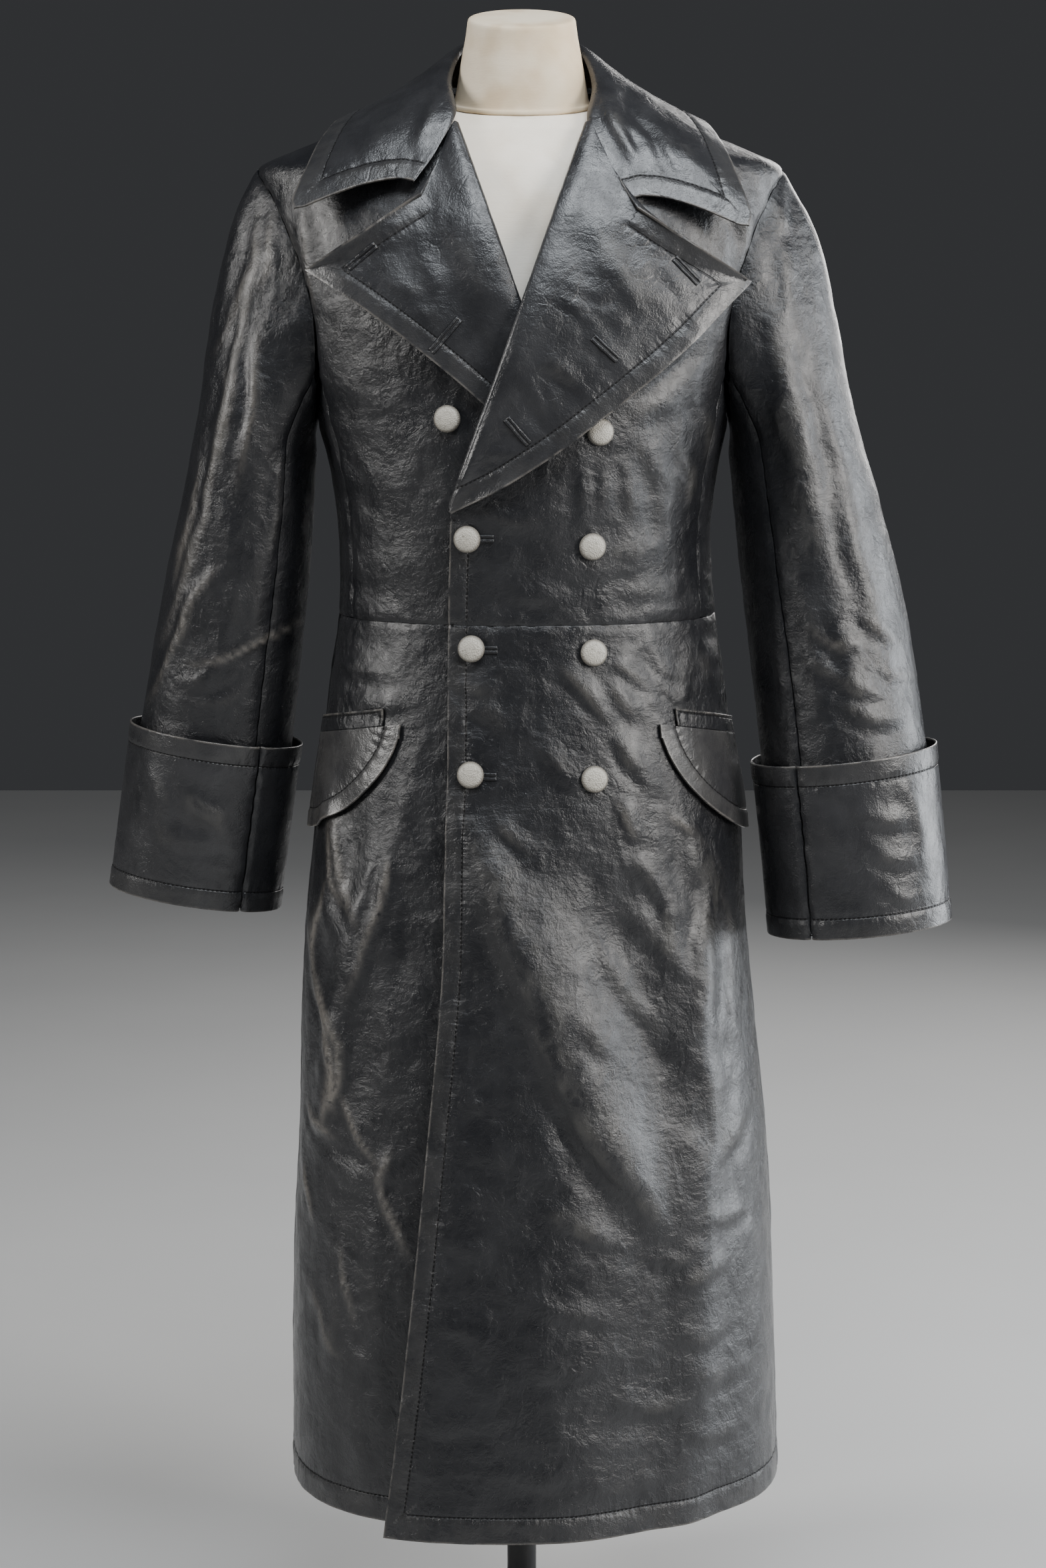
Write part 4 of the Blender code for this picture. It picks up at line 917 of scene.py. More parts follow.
for side, surface in (("left", coat), ("right", on_right)):
    panel(side + "_side_body_leather", 44, 60, side_body(surface),
          {"left": SEWN, "right": SEWN, "bottom": SEWN, "top": SEWN}, flat=(0.15, 0.225), area=0.0262,
          rests_on=["form_torso", "back_bodice"], node=side + "_side_body")


# Fronts of the bodice: each runs from the side body seam to the roll line of its lapel.
# Black leather; the left front laps over the right and stands off it, with a turned, stitched edge.
class Level(NamedTuple):
    """A value at a height."""
    z: float
    value: float


LEFT_STAND_OFF = (
    Level(0.213, 0.044), Level(0.400, 0.031), Level(0.600, 0.018), Level(0.850, 0.010),
    Level(1.026, 0.0090), Level(1.126, 0.0115), Level(1.205, 0.0125), Level(1.295, 0.0110),
    Level(1.370, 0.003), Level(1.433, 0.0),
)
STAND_OFF_NONE_X = 0.170
STAND_OFF_FULL_X = 0.015
FRONT_EDGE = (
    Level(0.213, -0.109), Level(0.398, -0.093), Level(0.537, -0.082), Level(0.747, -0.067),
    Level(1.026, -0.063), Level(1.126, -0.060),
)
BREAK_Z = 1.126
ROLL_TOP_Z = 1.467
ROLL_BREAK_X = -0.060
ROLL_TOP_X = 0.061
NECK_END_ANGLE = 14.0
FRONT_STITCH = 0.0165
BREAK_ROW = ARMHOLE_AT * (BREAK_Z - WAIST_Z) / (ARMHOLE_MID_Z - WAIST_Z)


def angle_at(x, z):
    """The turn angle at which the front of the coat has a sideways place."""
    ring = read(COAT_RINGS, z)
    half = np.where(x > 0, ring.left, ring.right)
    share = np.minimum(np.abs(x) / half, 1.0) ** (ring.corner / 2)
    return np.degrees(np.arccos(np.copysign(share, x)))


def on_left(angle, z, out=0.0):
    """A point over the left front, which stands off the right one near its edge."""
    inward = STAND_OFF_NONE_X - outline(angle, z)[..., 0]
    fade = soft_step(inward / (STAND_OFF_NONE_X - STAND_OFF_FULL_X))
    stand = read(LEFT_STAND_OFF, np.minimum(z, SHOULDER_Z)).value
    return coat(angle, z, stand * fade + out)


def roll_x(z):
    """Sideways place of the left lapel's roll line."""
    return ROLL_BREAK_X + (ROLL_TOP_X - ROLL_BREAK_X) * (z - BREAK_Z) / (ROLL_TOP_Z - BREAK_Z)


def own_angle(x, z, side):
    """The turn angle of a sideways place, counted from its own side."""
    angle = angle_at(side * x, z)
    return angle if side > 0 else 180 - angle


def edge_angle(z, side):
    """Inner limit of a front: free edge, then roll line, then neckline, counted from its own side."""
    level = np.minimum(z, ROLL_TOP_Z)
    x = np.where(z <= BREAK_Z, read(FRONT_EDGE, z).value, roll_x(level))
    angle = own_angle(x, level, side)
    return angle + (NECK_END_ANGLE - angle) * np.maximum(z - ROLL_TOP_Z, 0) / (NECK_Z - ROLL_TOP_Z)


def front_bodice(surface, side):
    def place(across, along):
        z = bodice_z(along)
        outer = outer_angle(z) + seam_turn()
        return surface(outer + (edge_angle(z, side) - outer) * across, z)
    return place


for side, name, surface, area in ((1, "left", on_left, 0.112), (-1, "right", on_right, 0.109)):
    panel(name + "_front_bodice_leather", 88, 140, front_bodice(surface, side),
          {"left": SEWN, "bottom": SEWN, "top": SEWN, "right": Turned(FRONT_STITCH, BREAK_ROW)},
          flat=(0.33, 0.50), area=area,
          rests_on=["form_torso", "back_bodice"], bunch=(0.5, 0.0), node=name + "_front_bodice")


# Skirts: two fronts and one back hang from the waist seam to the hem and flare into folds.
# Black leather; hems and front edges are turned in and topstitched, side seams are sewn.
SKIRT_SIDE_ANGLE = 8.0
HEM_STITCH = 0.023


def skirt_z(along):
    return HEM_Z + (WAIST_Z - HALF_SEAM - HEM_Z) * along


def front_skirt(surface, side):
    def place(across, along):
        z = skirt_z(along)
        outer = SKIRT_SIDE_ANGLE + seam_turn()
        return surface(outer + (edge_angle(z, side) - outer) * across, z)
    return place


def back_skirt(across, along):
    reach = 180 + 2 * (SKIRT_SIDE_ANGLE - seam_turn())
    return coat(270 + reach * (across - 0.5), skirt_z(along))


for side, name, surface, columns, width, area in (
        (1, "left", on_left, 116, 0.46, 0.32), (-1, "right", on_right, 108, 0.43, 0.298)):
    panel(name + "_front_skirt_leather", columns, 230, front_skirt(surface, side),
          {"left": SEWN, "right": Turned(FRONT_STITCH), "top": SEWN, "bottom": Turned(HEM_STITCH)},
          flat=(width, 0.84), area=area, rests_on=[name + "_front_bodice"],
          node=name + "_front_skirt")
panel("back_skirt_leather", 130, 150, back_skirt,
      {"left": SEWN, "right": SEWN, "top": SEWN, "bottom": Turned(HEM_STITCH)}, flat=(0.86, 0.84), area=0.60,
      rests_on=["back_bodice"], node="back_skirt", laid=BACK_CREASES)


# Lapels: each front turns back along its roll line into a wide peaked lapel.
# The facing is the same leather, painted lighter as sheen; its rim is turned and topstitched, and it springs up
# towards the tip.
class LapelOutline(NamedTuple):
    """A lapel as it lies in front, x towards its own side: break, belly, tip and notch."""
    break_x: float
    break_z: float
    belly_x: float
    belly_z: float
    tip_x: float
    tip_z: float
    notch_x: float
    notch_z: float
    edge_out: float


LEFT_LAPEL = LapelOutline(-0.060, 1.126, 0.0601, 1.1804, 0.188, 1.330, 0.100, 1.388, 0.0105)
RIGHT_LAPEL = LapelOutline(-0.060, 1.126, 0.0390, 1.2380, 0.178, 1.338, 0.088, 1.401, 0.0064)
LAPEL_TIP_AT = 0.72
LAPEL_TIP_ROW = 0.7
LAPEL_START = 0.008
LAPEL_FULL_AT = 0.13
LAPEL_START_ROLL = 0.0012
LAPEL_START_OUT = 0.0032
ROLL_CROWN = 0.0022
CROWN_AT = 0.1
ROLL_RADIUS = 0.0032
ROLL_SHARE = 0.25
LAPEL_FLAT_OUT = 0.0042
LAPEL_TIP_OUT = 0.026
LAPEL_STITCH = 0.018
LEFT_LAPEL_CREASES = creases_of(
    (69, 1400, 78, 1343, 104, 1298, 14, 2.6), (100, 1360, 110, 1325, 130, 1292, 9, 1.6),
    (20, 1317, 52, 1302, 76, 1278, 6, 1.5), (12, 1256, 30, 1252, 50, 1240, 5, 1.4),
    (0, 1236, 14, 1216, 21, 1196, 5, 1.4), (22, 1236, 27, 1220, 29, 1202, 4, 1.2),
    (-36, 1174, -24, 1178, -10, 1176, 4, 1.1), (58, 1318, 74, 1300, 96, 1288, 6, 1.4),
    (118, 1350, 134, 1330, 150, 1322, 6, 1.2), (51, 1287, 74, 1268, 93, 1247, 6, 1.5),
    (16, 1267, 42, 1246, 65, 1219, 6, 1.4), (2, 1247, 14, 1228, 23, 1206, 5, 1.2),
    (79, 1349, 94, 1322, 114, 1287, 7, 1.6), (135, 1315, 148, 1300, 163, 1281, 6, 1.2),
    (34, 1330, 60, 1320, 84, 1316, 6, 1.2), (-20, 1206, -4, 1198, 10, 1186, 5, 1.1),
)
RIGHT_LAPEL_CREASES = creases_of(
    (-60, 1400, -44, 1340, -20, 1290, 14, 1.8), (-110, 1340, -80, 1300, -60, 1270, 16, 1.4),
    (-120, 1330, -98, 1322, -74, 1326, 6, 0.9), (-90, 1352, -76, 1330, -70, 1306, 8, 1.1),
    (-40, 1300, -28, 1280, -22, 1256, 6, 1),
)


def lapel_rim(lapel, along):
    """A lapel's outer edge from break to tip along its belly, then its top edge from tip to notch."""
    share = np.clip(along / LAPEL_TIP_AT, 0, 1)
    over = np.clip((along - LAPEL_TIP_AT) / (1 - LAPEL_TIP_AT), 0, 1)
    x = bent(lapel.break_x, lapel.belly_x, lapel.tip_x, share)
    z = bent(lapel.break_z, lapel.belly_z, lapel.tip_z, share)
    return x + (lapel.notch_x - lapel.tip_x) * over, z + (lapel.notch_z - lapel.tip_z) * over


def lapel_place(lapel, side, surface):
    """The lapel turned back from the roll line: a half round, then a leaf that lifts to its tip."""
    def place(across, row):
        low = LAPEL_START + (LAPEL_TIP_AT - LAPEL_START) * row / LAPEL_TIP_ROW
        high = LAPEL_TIP_AT + (1 - LAPEL_TIP_AT) * (row - LAPEL_TIP_ROW) / (1 - LAPEL_TIP_ROW)
        along = np.where(row < LAPEL_TIP_ROW, low, high)
        root_z = BREAK_Z + (ROLL_TOP_Z - BREAK_Z) * along
        rim_x, rim_z = lapel_rim(lapel, along)
        turn = np.pi * np.clip(across / ROLL_SHARE, 0, 1)
        share = np.clip((across - ROLL_SHARE) / (1 - ROLL_SHARE), 0, 1)
        near_tip = 1 - np.abs(along - LAPEL_TIP_AT) / LAPEL_TIP_AT
        grown = soft_step(along / LAPEL_FULL_AT)
        roll = LAPEL_START_ROLL + (ROLL_RADIUS - LAPEL_START_ROLL) * grown
        edge_out = lapel.edge_out + (LAPEL_TIP_OUT - lapel.edge_out) * soft_step(near_tip) ** 3
        edge_out = LAPEL_START_OUT + (edge_out - LAPEL_START_OUT) * grown
        flat_out = LAPEL_START_OUT + (LAPEL_FLAT_OUT - LAPEL_START_OUT) * grown
        settle = 2 * roll + (flat_out - 2 * roll) * np.sin(np.pi * share)
        crown = ROLL_CROWN * grown * share * np.exp(1 - share / CROWN_AT) / CROWN_AT
        leaf = settle + (edge_out - 2 * roll) * share ** 2 + crown
        lift = np.where(across < ROLL_SHARE, roll * (1 - np.cos(turn)), leaf)
        root_x = roll_x(root_z)
        x = root_x + (rim_x - root_x) * share - roll * np.sin(turn) - (LEATHER / 2 + SEAM)
        z = root_z + (rim_z - root_z) * share
        return surface(own_angle(x, z, side), z, lift)
    return place


# Lapels, collar leaf and cuffs: a copy of the leather whose lighter colour is painted sheen, with fewer wrinkles.
pressed_leather_painted_sheen = leather_finish("pressed_leather_painted_sheen", deep=(0.0150, 0.0154, 0.0172, 1),
                                 mid=(0.0275, 0.0280, 0.0304, 1), scuffed=SCUFFED_BLACK, bare=BARE_BLACK,
                                 wrinkled=0.55)
left_lapel_place = lapel_place(LEFT_LAPEL, 1, on_left)
right_lapel_place = lapel_place(RIGHT_LAPEL, -1, on_right)
for name, place, creases, width, area in (
        ("left", left_lapel_place, LEFT_LAPEL_CREASES, 0.17, 0.0405),
        ("right", right_lapel_place, RIGHT_LAPEL_CREASES, 0.15, 0.031)):
    panel(name + "_lapel_leather", 62, 114, place, {"right": Turned(LAPEL_STITCH)}, flat=(width, 0.40), area=area,
          rests_on=[name + "_front_bodice"], inside=(0, 0.3, np.nan), bunch=(0.0, 0.0),
          creases=creases, finish=pressed_leather_painted_sheen, node=name + "_lapel", calm=0.5)


# Collar: a stand of brown leather sewn round the neck, and a wide pointed leaf that folds down from it.
# The leaf is black leather, painted lighter as sheen, with a turned, topstitched outer edge; its points lift off
# the shoulders.
class CollarRow(NamedTuple):
    """A section of the left half of the collar: neck seam, fold and outer edge."""
    along: float
    seam_x: float
    seam_y: float
    seam_z: float
    fold_x: float
    fold_y: float
    fold_z: float
    edge_x: float
    edge_y: float
    edge_z: float
    crown: float


COLLAR_ROWS = (
    CollarRow(0.00, 0.000, 0.0735, 1.508, 0.000, 0.0640, 1.552, 0.000, 0.128, 1.464, 0.010),
    CollarRow(0.16, 0.046, 0.0590, 1.508, 0.032, 0.0540, 1.5515, 0.076, 0.116, 1.464, 0.009),
    CollarRow(0.32, 0.079, 0.0240, 1.508, 0.0510, 0.0300, 1.549, 0.132, 0.078, 1.470, 0.002),
    CollarRow(0.47, 0.085, -0.0130, 1.506, 0.0610, 0.0000, 1.536, 0.162, 0.016, 1.477, -0.003),
    CollarRow(0.61, 0.0815, -0.0440, 1.494, 0.0670, -0.0340, 1.512, 0.180, -0.044, 1.453, 0.001),
    CollarRow(0.75, 0.0690, -0.0770, 1.470, 0.0660, -0.0770, 1.478, 0.193, -0.086, 1.419, 0.005),
    CollarRow(0.88, 0.0850, -0.0990, 1.438, 0.0860, -0.1000, 1.438, 0.201, -0.106, 1.395, 0.005),
    CollarRow(1.00, 0.1050, -0.1160, 1.404, 0.1060, -0.1170, 1.404, 0.207, -0.118, 1.372, 0.003),
)
STAND_FRONT_AT = 2 / 3
LEAF_ROLL = 1 / 6
FOLD_ROLL_DROP = 0.006
FOLD_ROLL_IN = 0.0035
STAND_TOP_GAP = 0.0022
RIGHT_TIP_RISE = 0.016
COLLAR_STITCH = 0.020
LEAF_ARCH = 0.030
LEAF_ARCH_POWER = 0.7
LEAF_CORNER_ROUND = 0.018
LEAF_POINT_ROUND = 0.045
LEAF_END_FROM = 0.86
LEAF_POINT_FROM = 0.90
GORGE_FROM = 0.62
GORGE_TO = 0.90
GORGE_REACH = 0.011
GORGE_DROP = np.array((0, -0.0015, 0.0035))
FOLD_ROUNDS = 30
FOLD_ROWS = 14
COLLAR_CREASES = creases_of(
    (88, 1504, 107, 1472, 130, 1432, 6, -3), (74, 1504, 83, 1470, 101, 1424, 6, 2.8),
    (101, 1494, 123, 1456, 151, 1420, 7, 2.6), (94, 1462, 99, 1450, 106, 1438, 4, -1.6),
    (136, 1470, 150, 1440, 168, 1416, 7, 1.4), (-74, 1505, -84, 1470, -94, 1440, 7, 1.8),
    (-100, 1500, -122, 1466, -150, 1436, 10, 1.4), (-60, 1530, -30, 1500, 20, 1494, 10, 1.2),
)


def collar_points(across, reach):
    """The collar's seam, fold and edge from the right front, round the back, to the left front."""
    side = np.where(across > 0.5, 1.0, -1.0)
    row = read(COLLAR_ROWS, np.abs(across - 0.5) * 2 * reach)
    rise = np.where(side < 0, RIGHT_TIP_RISE, 0.0) * row.along ** 3
    seam, fold, edge = (np.stack([side * x, y, z + rise], axis=-1) for x, y, z in (
        (row.seam_x, row.seam_y, row.seam_z), (row.fold_x, row.fold_y, row.fold_z),
        (row.edge_x, row.edge_y, row.edge_z)))
    inward = unit(fold * (-1, -1, 0))
    tall = soft_step(np.linalg.norm(fold - seam, axis=-1) / (2 * FOLD_ROLL_DROP))[..., None]
    start = fold + (inward * FOLD_ROLL_IN - np.array((0, 0, FOLD_ROLL_DROP))) * tall
    return seam, fold, edge, start, row.crown


def collar_stand(across, along):
    seam, _, _, top, _ = collar_points(across, STAND_FRONT_AT)
    top = top + unit(seam - top) * STAND_TOP_GAP
    return seam + (top - seam) * along[..., None]


def collar_leaf(across, along):
    roll = np.clip(along / LEAF_ROLL, 0, 1)[..., None]
    share = np.clip((along - LEAF_ROLL) / (1 - LEAF_ROLL), 0, 1)[..., None]
    reach = np.abs(across - 0.5) * 2
    arched = reach * (1 - LEAF_ARCH * np.sin(np.pi * share[..., 0] ** LEAF_ARCH_POWER))
    ended = soft_step((share[..., 0] - LEAF_END_FROM) / (1 - LEAF_END_FROM))
    arched = arched - LEAF_CORNER_ROUND * ended ** 2 * reach ** 8
    pointed = soft_step((reach - LEAF_POINT_FROM) / (1 - LEAF_POINT_FROM))
    share = share * (1 - LEAF_POINT_ROUND * pointed ** 2)[..., None]
    _, fold, edge, start, crown = collar_points(0.5 + np.copysign(arched, across - 0.5) / 2, 1.0)
    sewn = soft_step((arched - GORGE_FROM) / (GORGE_TO - GORGE_FROM))[..., None]
    inward = np.stack([-np.sign(across - 0.5), 0 * across, 0 * across], axis=-1) * GORGE_REACH
    fold = fold + (inward - GORGE_DROP) * sewn
    start = start + (inward - GORGE_DROP) * sewn
    chord = unit(edge - fold)
    upright = unit(np.array((0, 0, 1.0)) - chord * chord[..., 2:])
    leaf = fold + (edge - fold) * share + upright * crown[..., None] * np.sin(np.pi * share)
    return np.where(along[..., None] < LEAF_ROLL, start + (fold - start) * roll, leaf)


def rounded_fold(points):
    """The leaf with its fold rounded off."""
    for _ in range(FOLD_ROUNDS):
        points = points.copy()
        middle = points[1:FOLD_ROWS + 1]
        middle += ((points[:FOLD_ROWS] + points[2:FOLD_ROWS + 2]) / 2 - middle) * 0.5
    return points


brown_leather = leather_finish("brown_leather", deep=(0.045, 0.034, 0.027, 1), mid=(0.085, 0.066, 0.054, 1),
                               scuffed=(0.12, 0.10, 0.085, 1), bare=(0.16, 0.14, 0.12, 1))
panel("collar_stand_leather", 120, 16, collar_stand, {"bottom": SEWN}, flat=(0.44, 0.045), area=0.0117,
      rests_on=["back_bodice", "left_front_bodice", "right_front_bodice"], finish=brown_leather,
      slot="brown_leather", node="collar_stand", calm=0.5)
panel("collar_leaf_leather", 170, 54, collar_leaf,
      {"top": Turned(COLLAR_STITCH), "left": Turned(COLLAR_STITCH), "right": Turned(COLLAR_STITCH)},
      flat=(0.66, 0.15), area=0.081, rests_on=["collar_stand", "back_bodice"], inside=(0, 0, 1.40),
      bunch=(0.4, 0.0), creases=COLLAR_CREASES, finish=pressed_leather_painted_sheen, node="collar_leaf", calm=0.5,
      shape=rounded_fold)


# Sleeves: each is cut in two, a wide top piece and a narrow under piece, and set into the armhole.
# Black leather, worn into long creases down the arm; a plain seam runs down the front and one behind.
class SleeveRing(NamedTuple):
    """A section of a sleeve: its centre (x away from the body), half width and half depth."""
    z: float
    x: float
    y: float
    half_width: float
    half_depth: float


LEFT_SLEEVE = (
    SleeveRing(0.743, 0.3135, -0.057, 0.0815, 0.068), SleeveRing(0.820, 0.3065, -0.050, 0.0785, 0.070),
    SleeveRing(0.920, 0.2955, -0.038, 0.0750, 0.073), SleeveRing(1.000, 0.2850, -0.026, 0.0735, 0.077),
    SleeveRing(1.080, 0.2715, -0.014, 0.0695, 0.081), SleeveRing(1.180, 0.2525, -0.004, 0.0605, 0.084),
)
RIGHT_SLEEVE = (
    SleeveRing(0.756, 0.3110, 0.030, 0.0780, 0.067), SleeveRing(0.830, 0.3000, 0.025, 0.0745, 0.069),
    SleeveRing(0.920, 0.2865, 0.019, 0.0705, 0.072), SleeveRing(1.000, 0.2745, 0.013, 0.0680, 0.076),
    SleeveRing(1.080, 0.2610, 0.008, 0.0635, 0.080), SleeveRing(1.180, 0.2470, 0.004, 0.0560, 0.083),
)
CAP_AT = 0.37
CAP_OUTWARD = 0.34
CAP_DOWNWARD = 0.80
ARMHOLE_INSET = 0.0014
ARMPIT_LAP = 0.0027
TOP_REACH = math.degrees(math.acos((armhole_floor(SIDE_BODY_ANGLE) - ARMHOLE_MID_Z) / (ARMHOLE_MID_Z - ARMPIT_Z)))
SLEEVE_GAP = math.degrees(2 * SEAM / LEFT_SLEEVE[-1].half_width)
LEFT_CUFF_TOP_Z = 0.900
RIGHT_CUFF_TOP_Z = 0.911
LEAN_STEP = 0.005
DOWN_STEP = 0.02
SLEEVE_FRONT_FADE = 0.05
BEHIND_SHARE = 0.4
INNER_REACH = 0.055
INNER_FADE = 0.03
HEAD_FROM_Z = 1.20
HEAD_FADE = 0.08
SLEEVE_WAVE = Wave(0.0012, 0.05, 5.5)
IN_CUFF = 0.004
IN_CUFF_FADE = 0.03
LEFT_SLEEVE_CREASES = creases_of(
    (221, 1313, 242, 1188, 269, 1052, 12, 3.4), (241, 1301, 267, 1188, 294, 1060, 11, -2.4),
    (292, 1145, 308, 1074, 330, 994, 10, 3), (262, 1250, 280, 1190, 296, 1120, 8, 2.2),
    (250, 1060, 262, 1000, 268, 930, 10, 2.4), (282, 1040, 296, 990, 302, 940, 8, 2.4),
    (269, 994, 297, 966, 333, 960, 7, 3), (283, 955, 320, 938, 356, 945, 7, 3),
    (262, 1020, 286, 1006, 312, 1010, 6, 2.2), (305, 1040, 326, 1016, 350, 1008, 6, 2.2),
    (318, 990, 340, 972, 362, 975, 6, 2), (225, 1404, 232, 1384, 246, 1372, 6, 3),
    (236, 1420, 244, 1400, 242, 1370, 6, -2.6), (232, 1385, 236, 1340, 240, 1290, 7, 2.4),
)
RIGHT_SLEEVE_CREASES = creases_of(
    (-238, 1396, -246, 1337, -283, 1264, 5.5, 2.8), (-233, 1370, -252, 1290, -272, 1185, 5.2, 3),
    (-236, 1296, -243, 1222, -257, 1142, 5.5, 2.8), (-268, 1256, -277, 1176, -312, 1032, 5.5, 3.4),
    (-275, 1076, -308, 1026, -348, 940, 5, 3.2), (-292, 1176, -304, 1112, -320, 1052, 5, 2.4),
    (-309, 980, -246, 998, -184, 1032, 4.6, 1.4), (-252, 1400, -262, 1340, -272, 1290, 8, 1.8),
    (-248, 1100, -262, 1040, -285, 985, 8.5, 2), (-232, 1120, -240, 1050, -252, 990, 9, 2),
    (-262, 1000, -290, 970, -318, 962, 7.5, 1.8), (-245, 965, -275, 945, -305, 948, 7, 1.6),
    (-212, 1180, -222, 1130, -228, 1080, 7, 2), (-222, 1400, -226, 1360, -238, 1320, 5.5, 1.8),
    (-298, 1110, -312, 1050, -336, 996, 6, 1.8),
)


def sleeve_end(rings, side, z, angle, out=0.0):
    """A point of a sleeve's tube at a height of its axis; angle 0 is outermost and 90 in front."""
    low = read(rings, np.maximum(z - LEAN_STEP, rings[0].z))
    high = read(rings, np.minimum(z + LEAN_STEP, rings[-1].z))
    ring = read(rings, z)
    lean = np.arctan2(low.x - high.x, high.z - low.z)
    wide = (ring.half_width + out) * np.cos(np.radians(angle))
    y = ring.y - (ring.half_depth + out) * np.sin(np.radians(angle))
    return np.stack([side * (ring.x + wide * np.cos(lean)), y, ring.z + wide * np.sin(lean)], axis=-1)


def sleeve_start(side, angle):
    """A point of the seam into the armhole, which laps over the side body under the arm."""
    turn = np.radians(angle)
    opening = (ARMHOLE_ANGLE - seam_turn(ARMHOLE_INSET)) * np.sin(turn)
    above = (SHOULDER_Z - ARMHOLE_INSET - ARMHOLE_MID_Z) * np.cos(turn)
    below = (ARMHOLE_MID_Z - ARMPIT_Z - ARMHOLE_INSET) * np.cos(turn)
    z = ARMHOLE_MID_Z + np.where(np.cos(turn) > 0, above, below)
    lap = ARMPIT_LAP * soft_step(np.cos(turn) / math.cos(math.radians(TOP_REACH)))
    return coat(opening, z, lap) if side > 0 else on_right(opening, z, lap)


def sleeve_place(rings, side, first, last):
    """A sleeve piece between two angles, from the armhole over its head and down into the cuff."""
    def place(across, along):
        angle = first + (last - first) * across
        top_z = rings[-1].z
        arm = np.clip((along - CAP_AT) / (1 - CAP_AT), 0, 1)
        share = np.clip(along / CAP_AT, 0, 1)[..., None]
        start = sleeve_start(side, angle)
        end = sleeve_end(rings, side, top_z + 0 * angle, angle)
        length = np.linalg.norm(end - start, axis=-1, keepdims=True)
        down = unit(sleeve_end(rings, side, top_z - DOWN_STEP + 0 * angle, angle) - end)
        leave = unit(np.array((side * CAP_OUTWARD, 0, 0)) + down * CAP_DOWNWARD)
        at_start, leaving, at_end, arriving = curve_weights(share)
        cap = start * at_start + end * at_end + (leave * leaving + down * arriving) * length
        tube = sleeve_end(rings, side, top_z + (rings[0].z - top_z) * arm, angle)
        return np.where(along[..., None] < CAP_AT, cap, tube)
    return place


def sleeve_slack(rings, side, creases, cuff_top):
    """Lays a sleeve's creases on it, weaker behind and not inside the cuff."""
    def shape(points):
        ring = read(rings, np.clip(points[..., 2], rings[0].z, rings[-1].z))
        middle = np.stack([side * ring.x, ring.y, points[..., 2]], axis=-1)
        normal = outward(points, middle)
        front = soft_step(0.5 - (points[..., 1] - ring.y) / SLEEVE_FRONT_FADE)
        lift = (BEHIND_SHARE + (1 - BEHIND_SHARE) * front) * crease_height(points, creases)
        free = soft_step((side * (points[..., 0] - middle[..., 0]) + INNER_REACH) / INNER_FADE)
        free = np.maximum(free, soft_step((points[..., 2] - HEAD_FROM_Z) / HEAD_FADE))
        lift = free * (lift + ripple(points, SLEEVE_WAVE))
        out_of_cuff = soft_step((points[..., 2] - cuff_top + IN_CUFF) / IN_CUFF_FADE)
        return points + normal * (lift * out_of_cuff)[..., None]
    return shape


for name, side, rings, creases, cuff_top, top_area, under_area in (
        ("left", 1, LEFT_SLEEVE, LEFT_SLEEVE_CREASES, LEFT_CUFF_TOP_Z, 0.210, 0.0695),
        ("right", -1, RIGHT_SLEEVE, RIGHT_SLEEVE_CREASES, RIGHT_CUFF_TOP_Z, 0.196, 0.0665)):
    slack_in = sleeve_slack(rings, side, creases, cuff_top)
    for part, columns, rows, first, last, flat, area in (
            ("top", 88, 180, -TOP_REACH + SLEEVE_GAP, TOP_REACH - SLEEVE_GAP, (0.38, 0.70), top_area),
            ("under", 36, 130, TOP_REACH + SLEEVE_GAP, 360 - TOP_REACH - SLEEVE_GAP, (0.17, 0.53), under_area)):
        panel(f"{name}_{part}_sleeve_leather", columns, rows, sleeve_place(rings, side, first, last),
              {"left": SEWN, "right": SEWN, "bottom": SEWN}, flat=flat, area=area,
              rests_on=[name + "_front_bodice", "back_bodice"], inside=(side * 0.28, 0, np.nan), bunch=(0.5, 0.25),
              node=f"{name}_{part}_sleeve", shape=slack_in, laid=creases)


# Cuffs: each sleeve ends in a deep turned-back cuff that stands off the sleeve at its upper edge.
# A band of black leather, painted lighter as sheen, topstitched along both edges and closed at the front seam of
# the sleeve.
CUFF_END_OUT = ON_TOP + 0.0005
CUFF_TOP_OUT = 0.0095
CUFF_BELOW_SLEEVE = 0.003
CUFF_STITCH = 0.019
LEFT_CUFF_CREASES = creases_of(
    (300, 862, 330, 845, 362, 850, 6, 2.2), (310, 830, 336, 812, 366, 816, 6, 2.2),
    (345, 880, 360, 850, 364, 810, 6, 1.8), (330, 790, 350, 776, 374, 782, 5, 1.8),
    (262, 850, 286, 830, 300, 800, 9, 1.4),
)
RIGHT_CUFF_CREASES = creases_of(
    (-325, 868, -296, 845, -262, 838, 8, 1.8), (-340, 830, -310, 815, -275, 820, 7, 1.6),
    (-350, 870, -336, 830, -338, 790, 8, 1.6), (-300, 800, -275, 790, -250, 798, 7, 1.4),
    (-311, 866, -289, 838, -269, 807, 6, 3), (-318, 852, -310, 842, -301, 829, 5, 2.1),
    (-348, 892, -339, 868, -333, 840, 7, 2.6),
)


def cuff_place(rings, side, top_z):
    """A cuff round the end of a sleeve, open at the sleeve's front seam."""
    def place(across, along):
        angle = TOP_REACH + SLEEVE_GAP + (360 - 2 * SLEEVE_GAP) * across
        out = CUFF_END_OUT + (CUFF_TOP_OUT - CUFF_END_OUT) * along
        points = sleeve_end(rings, side, rings[0].z + (top_z - rings[0].z) * along, angle, out)
        return points - np.stack([0 * along, 0 * along, CUFF_BELOW_SLEEVE * (1 - along)], axis=-1)
    return place


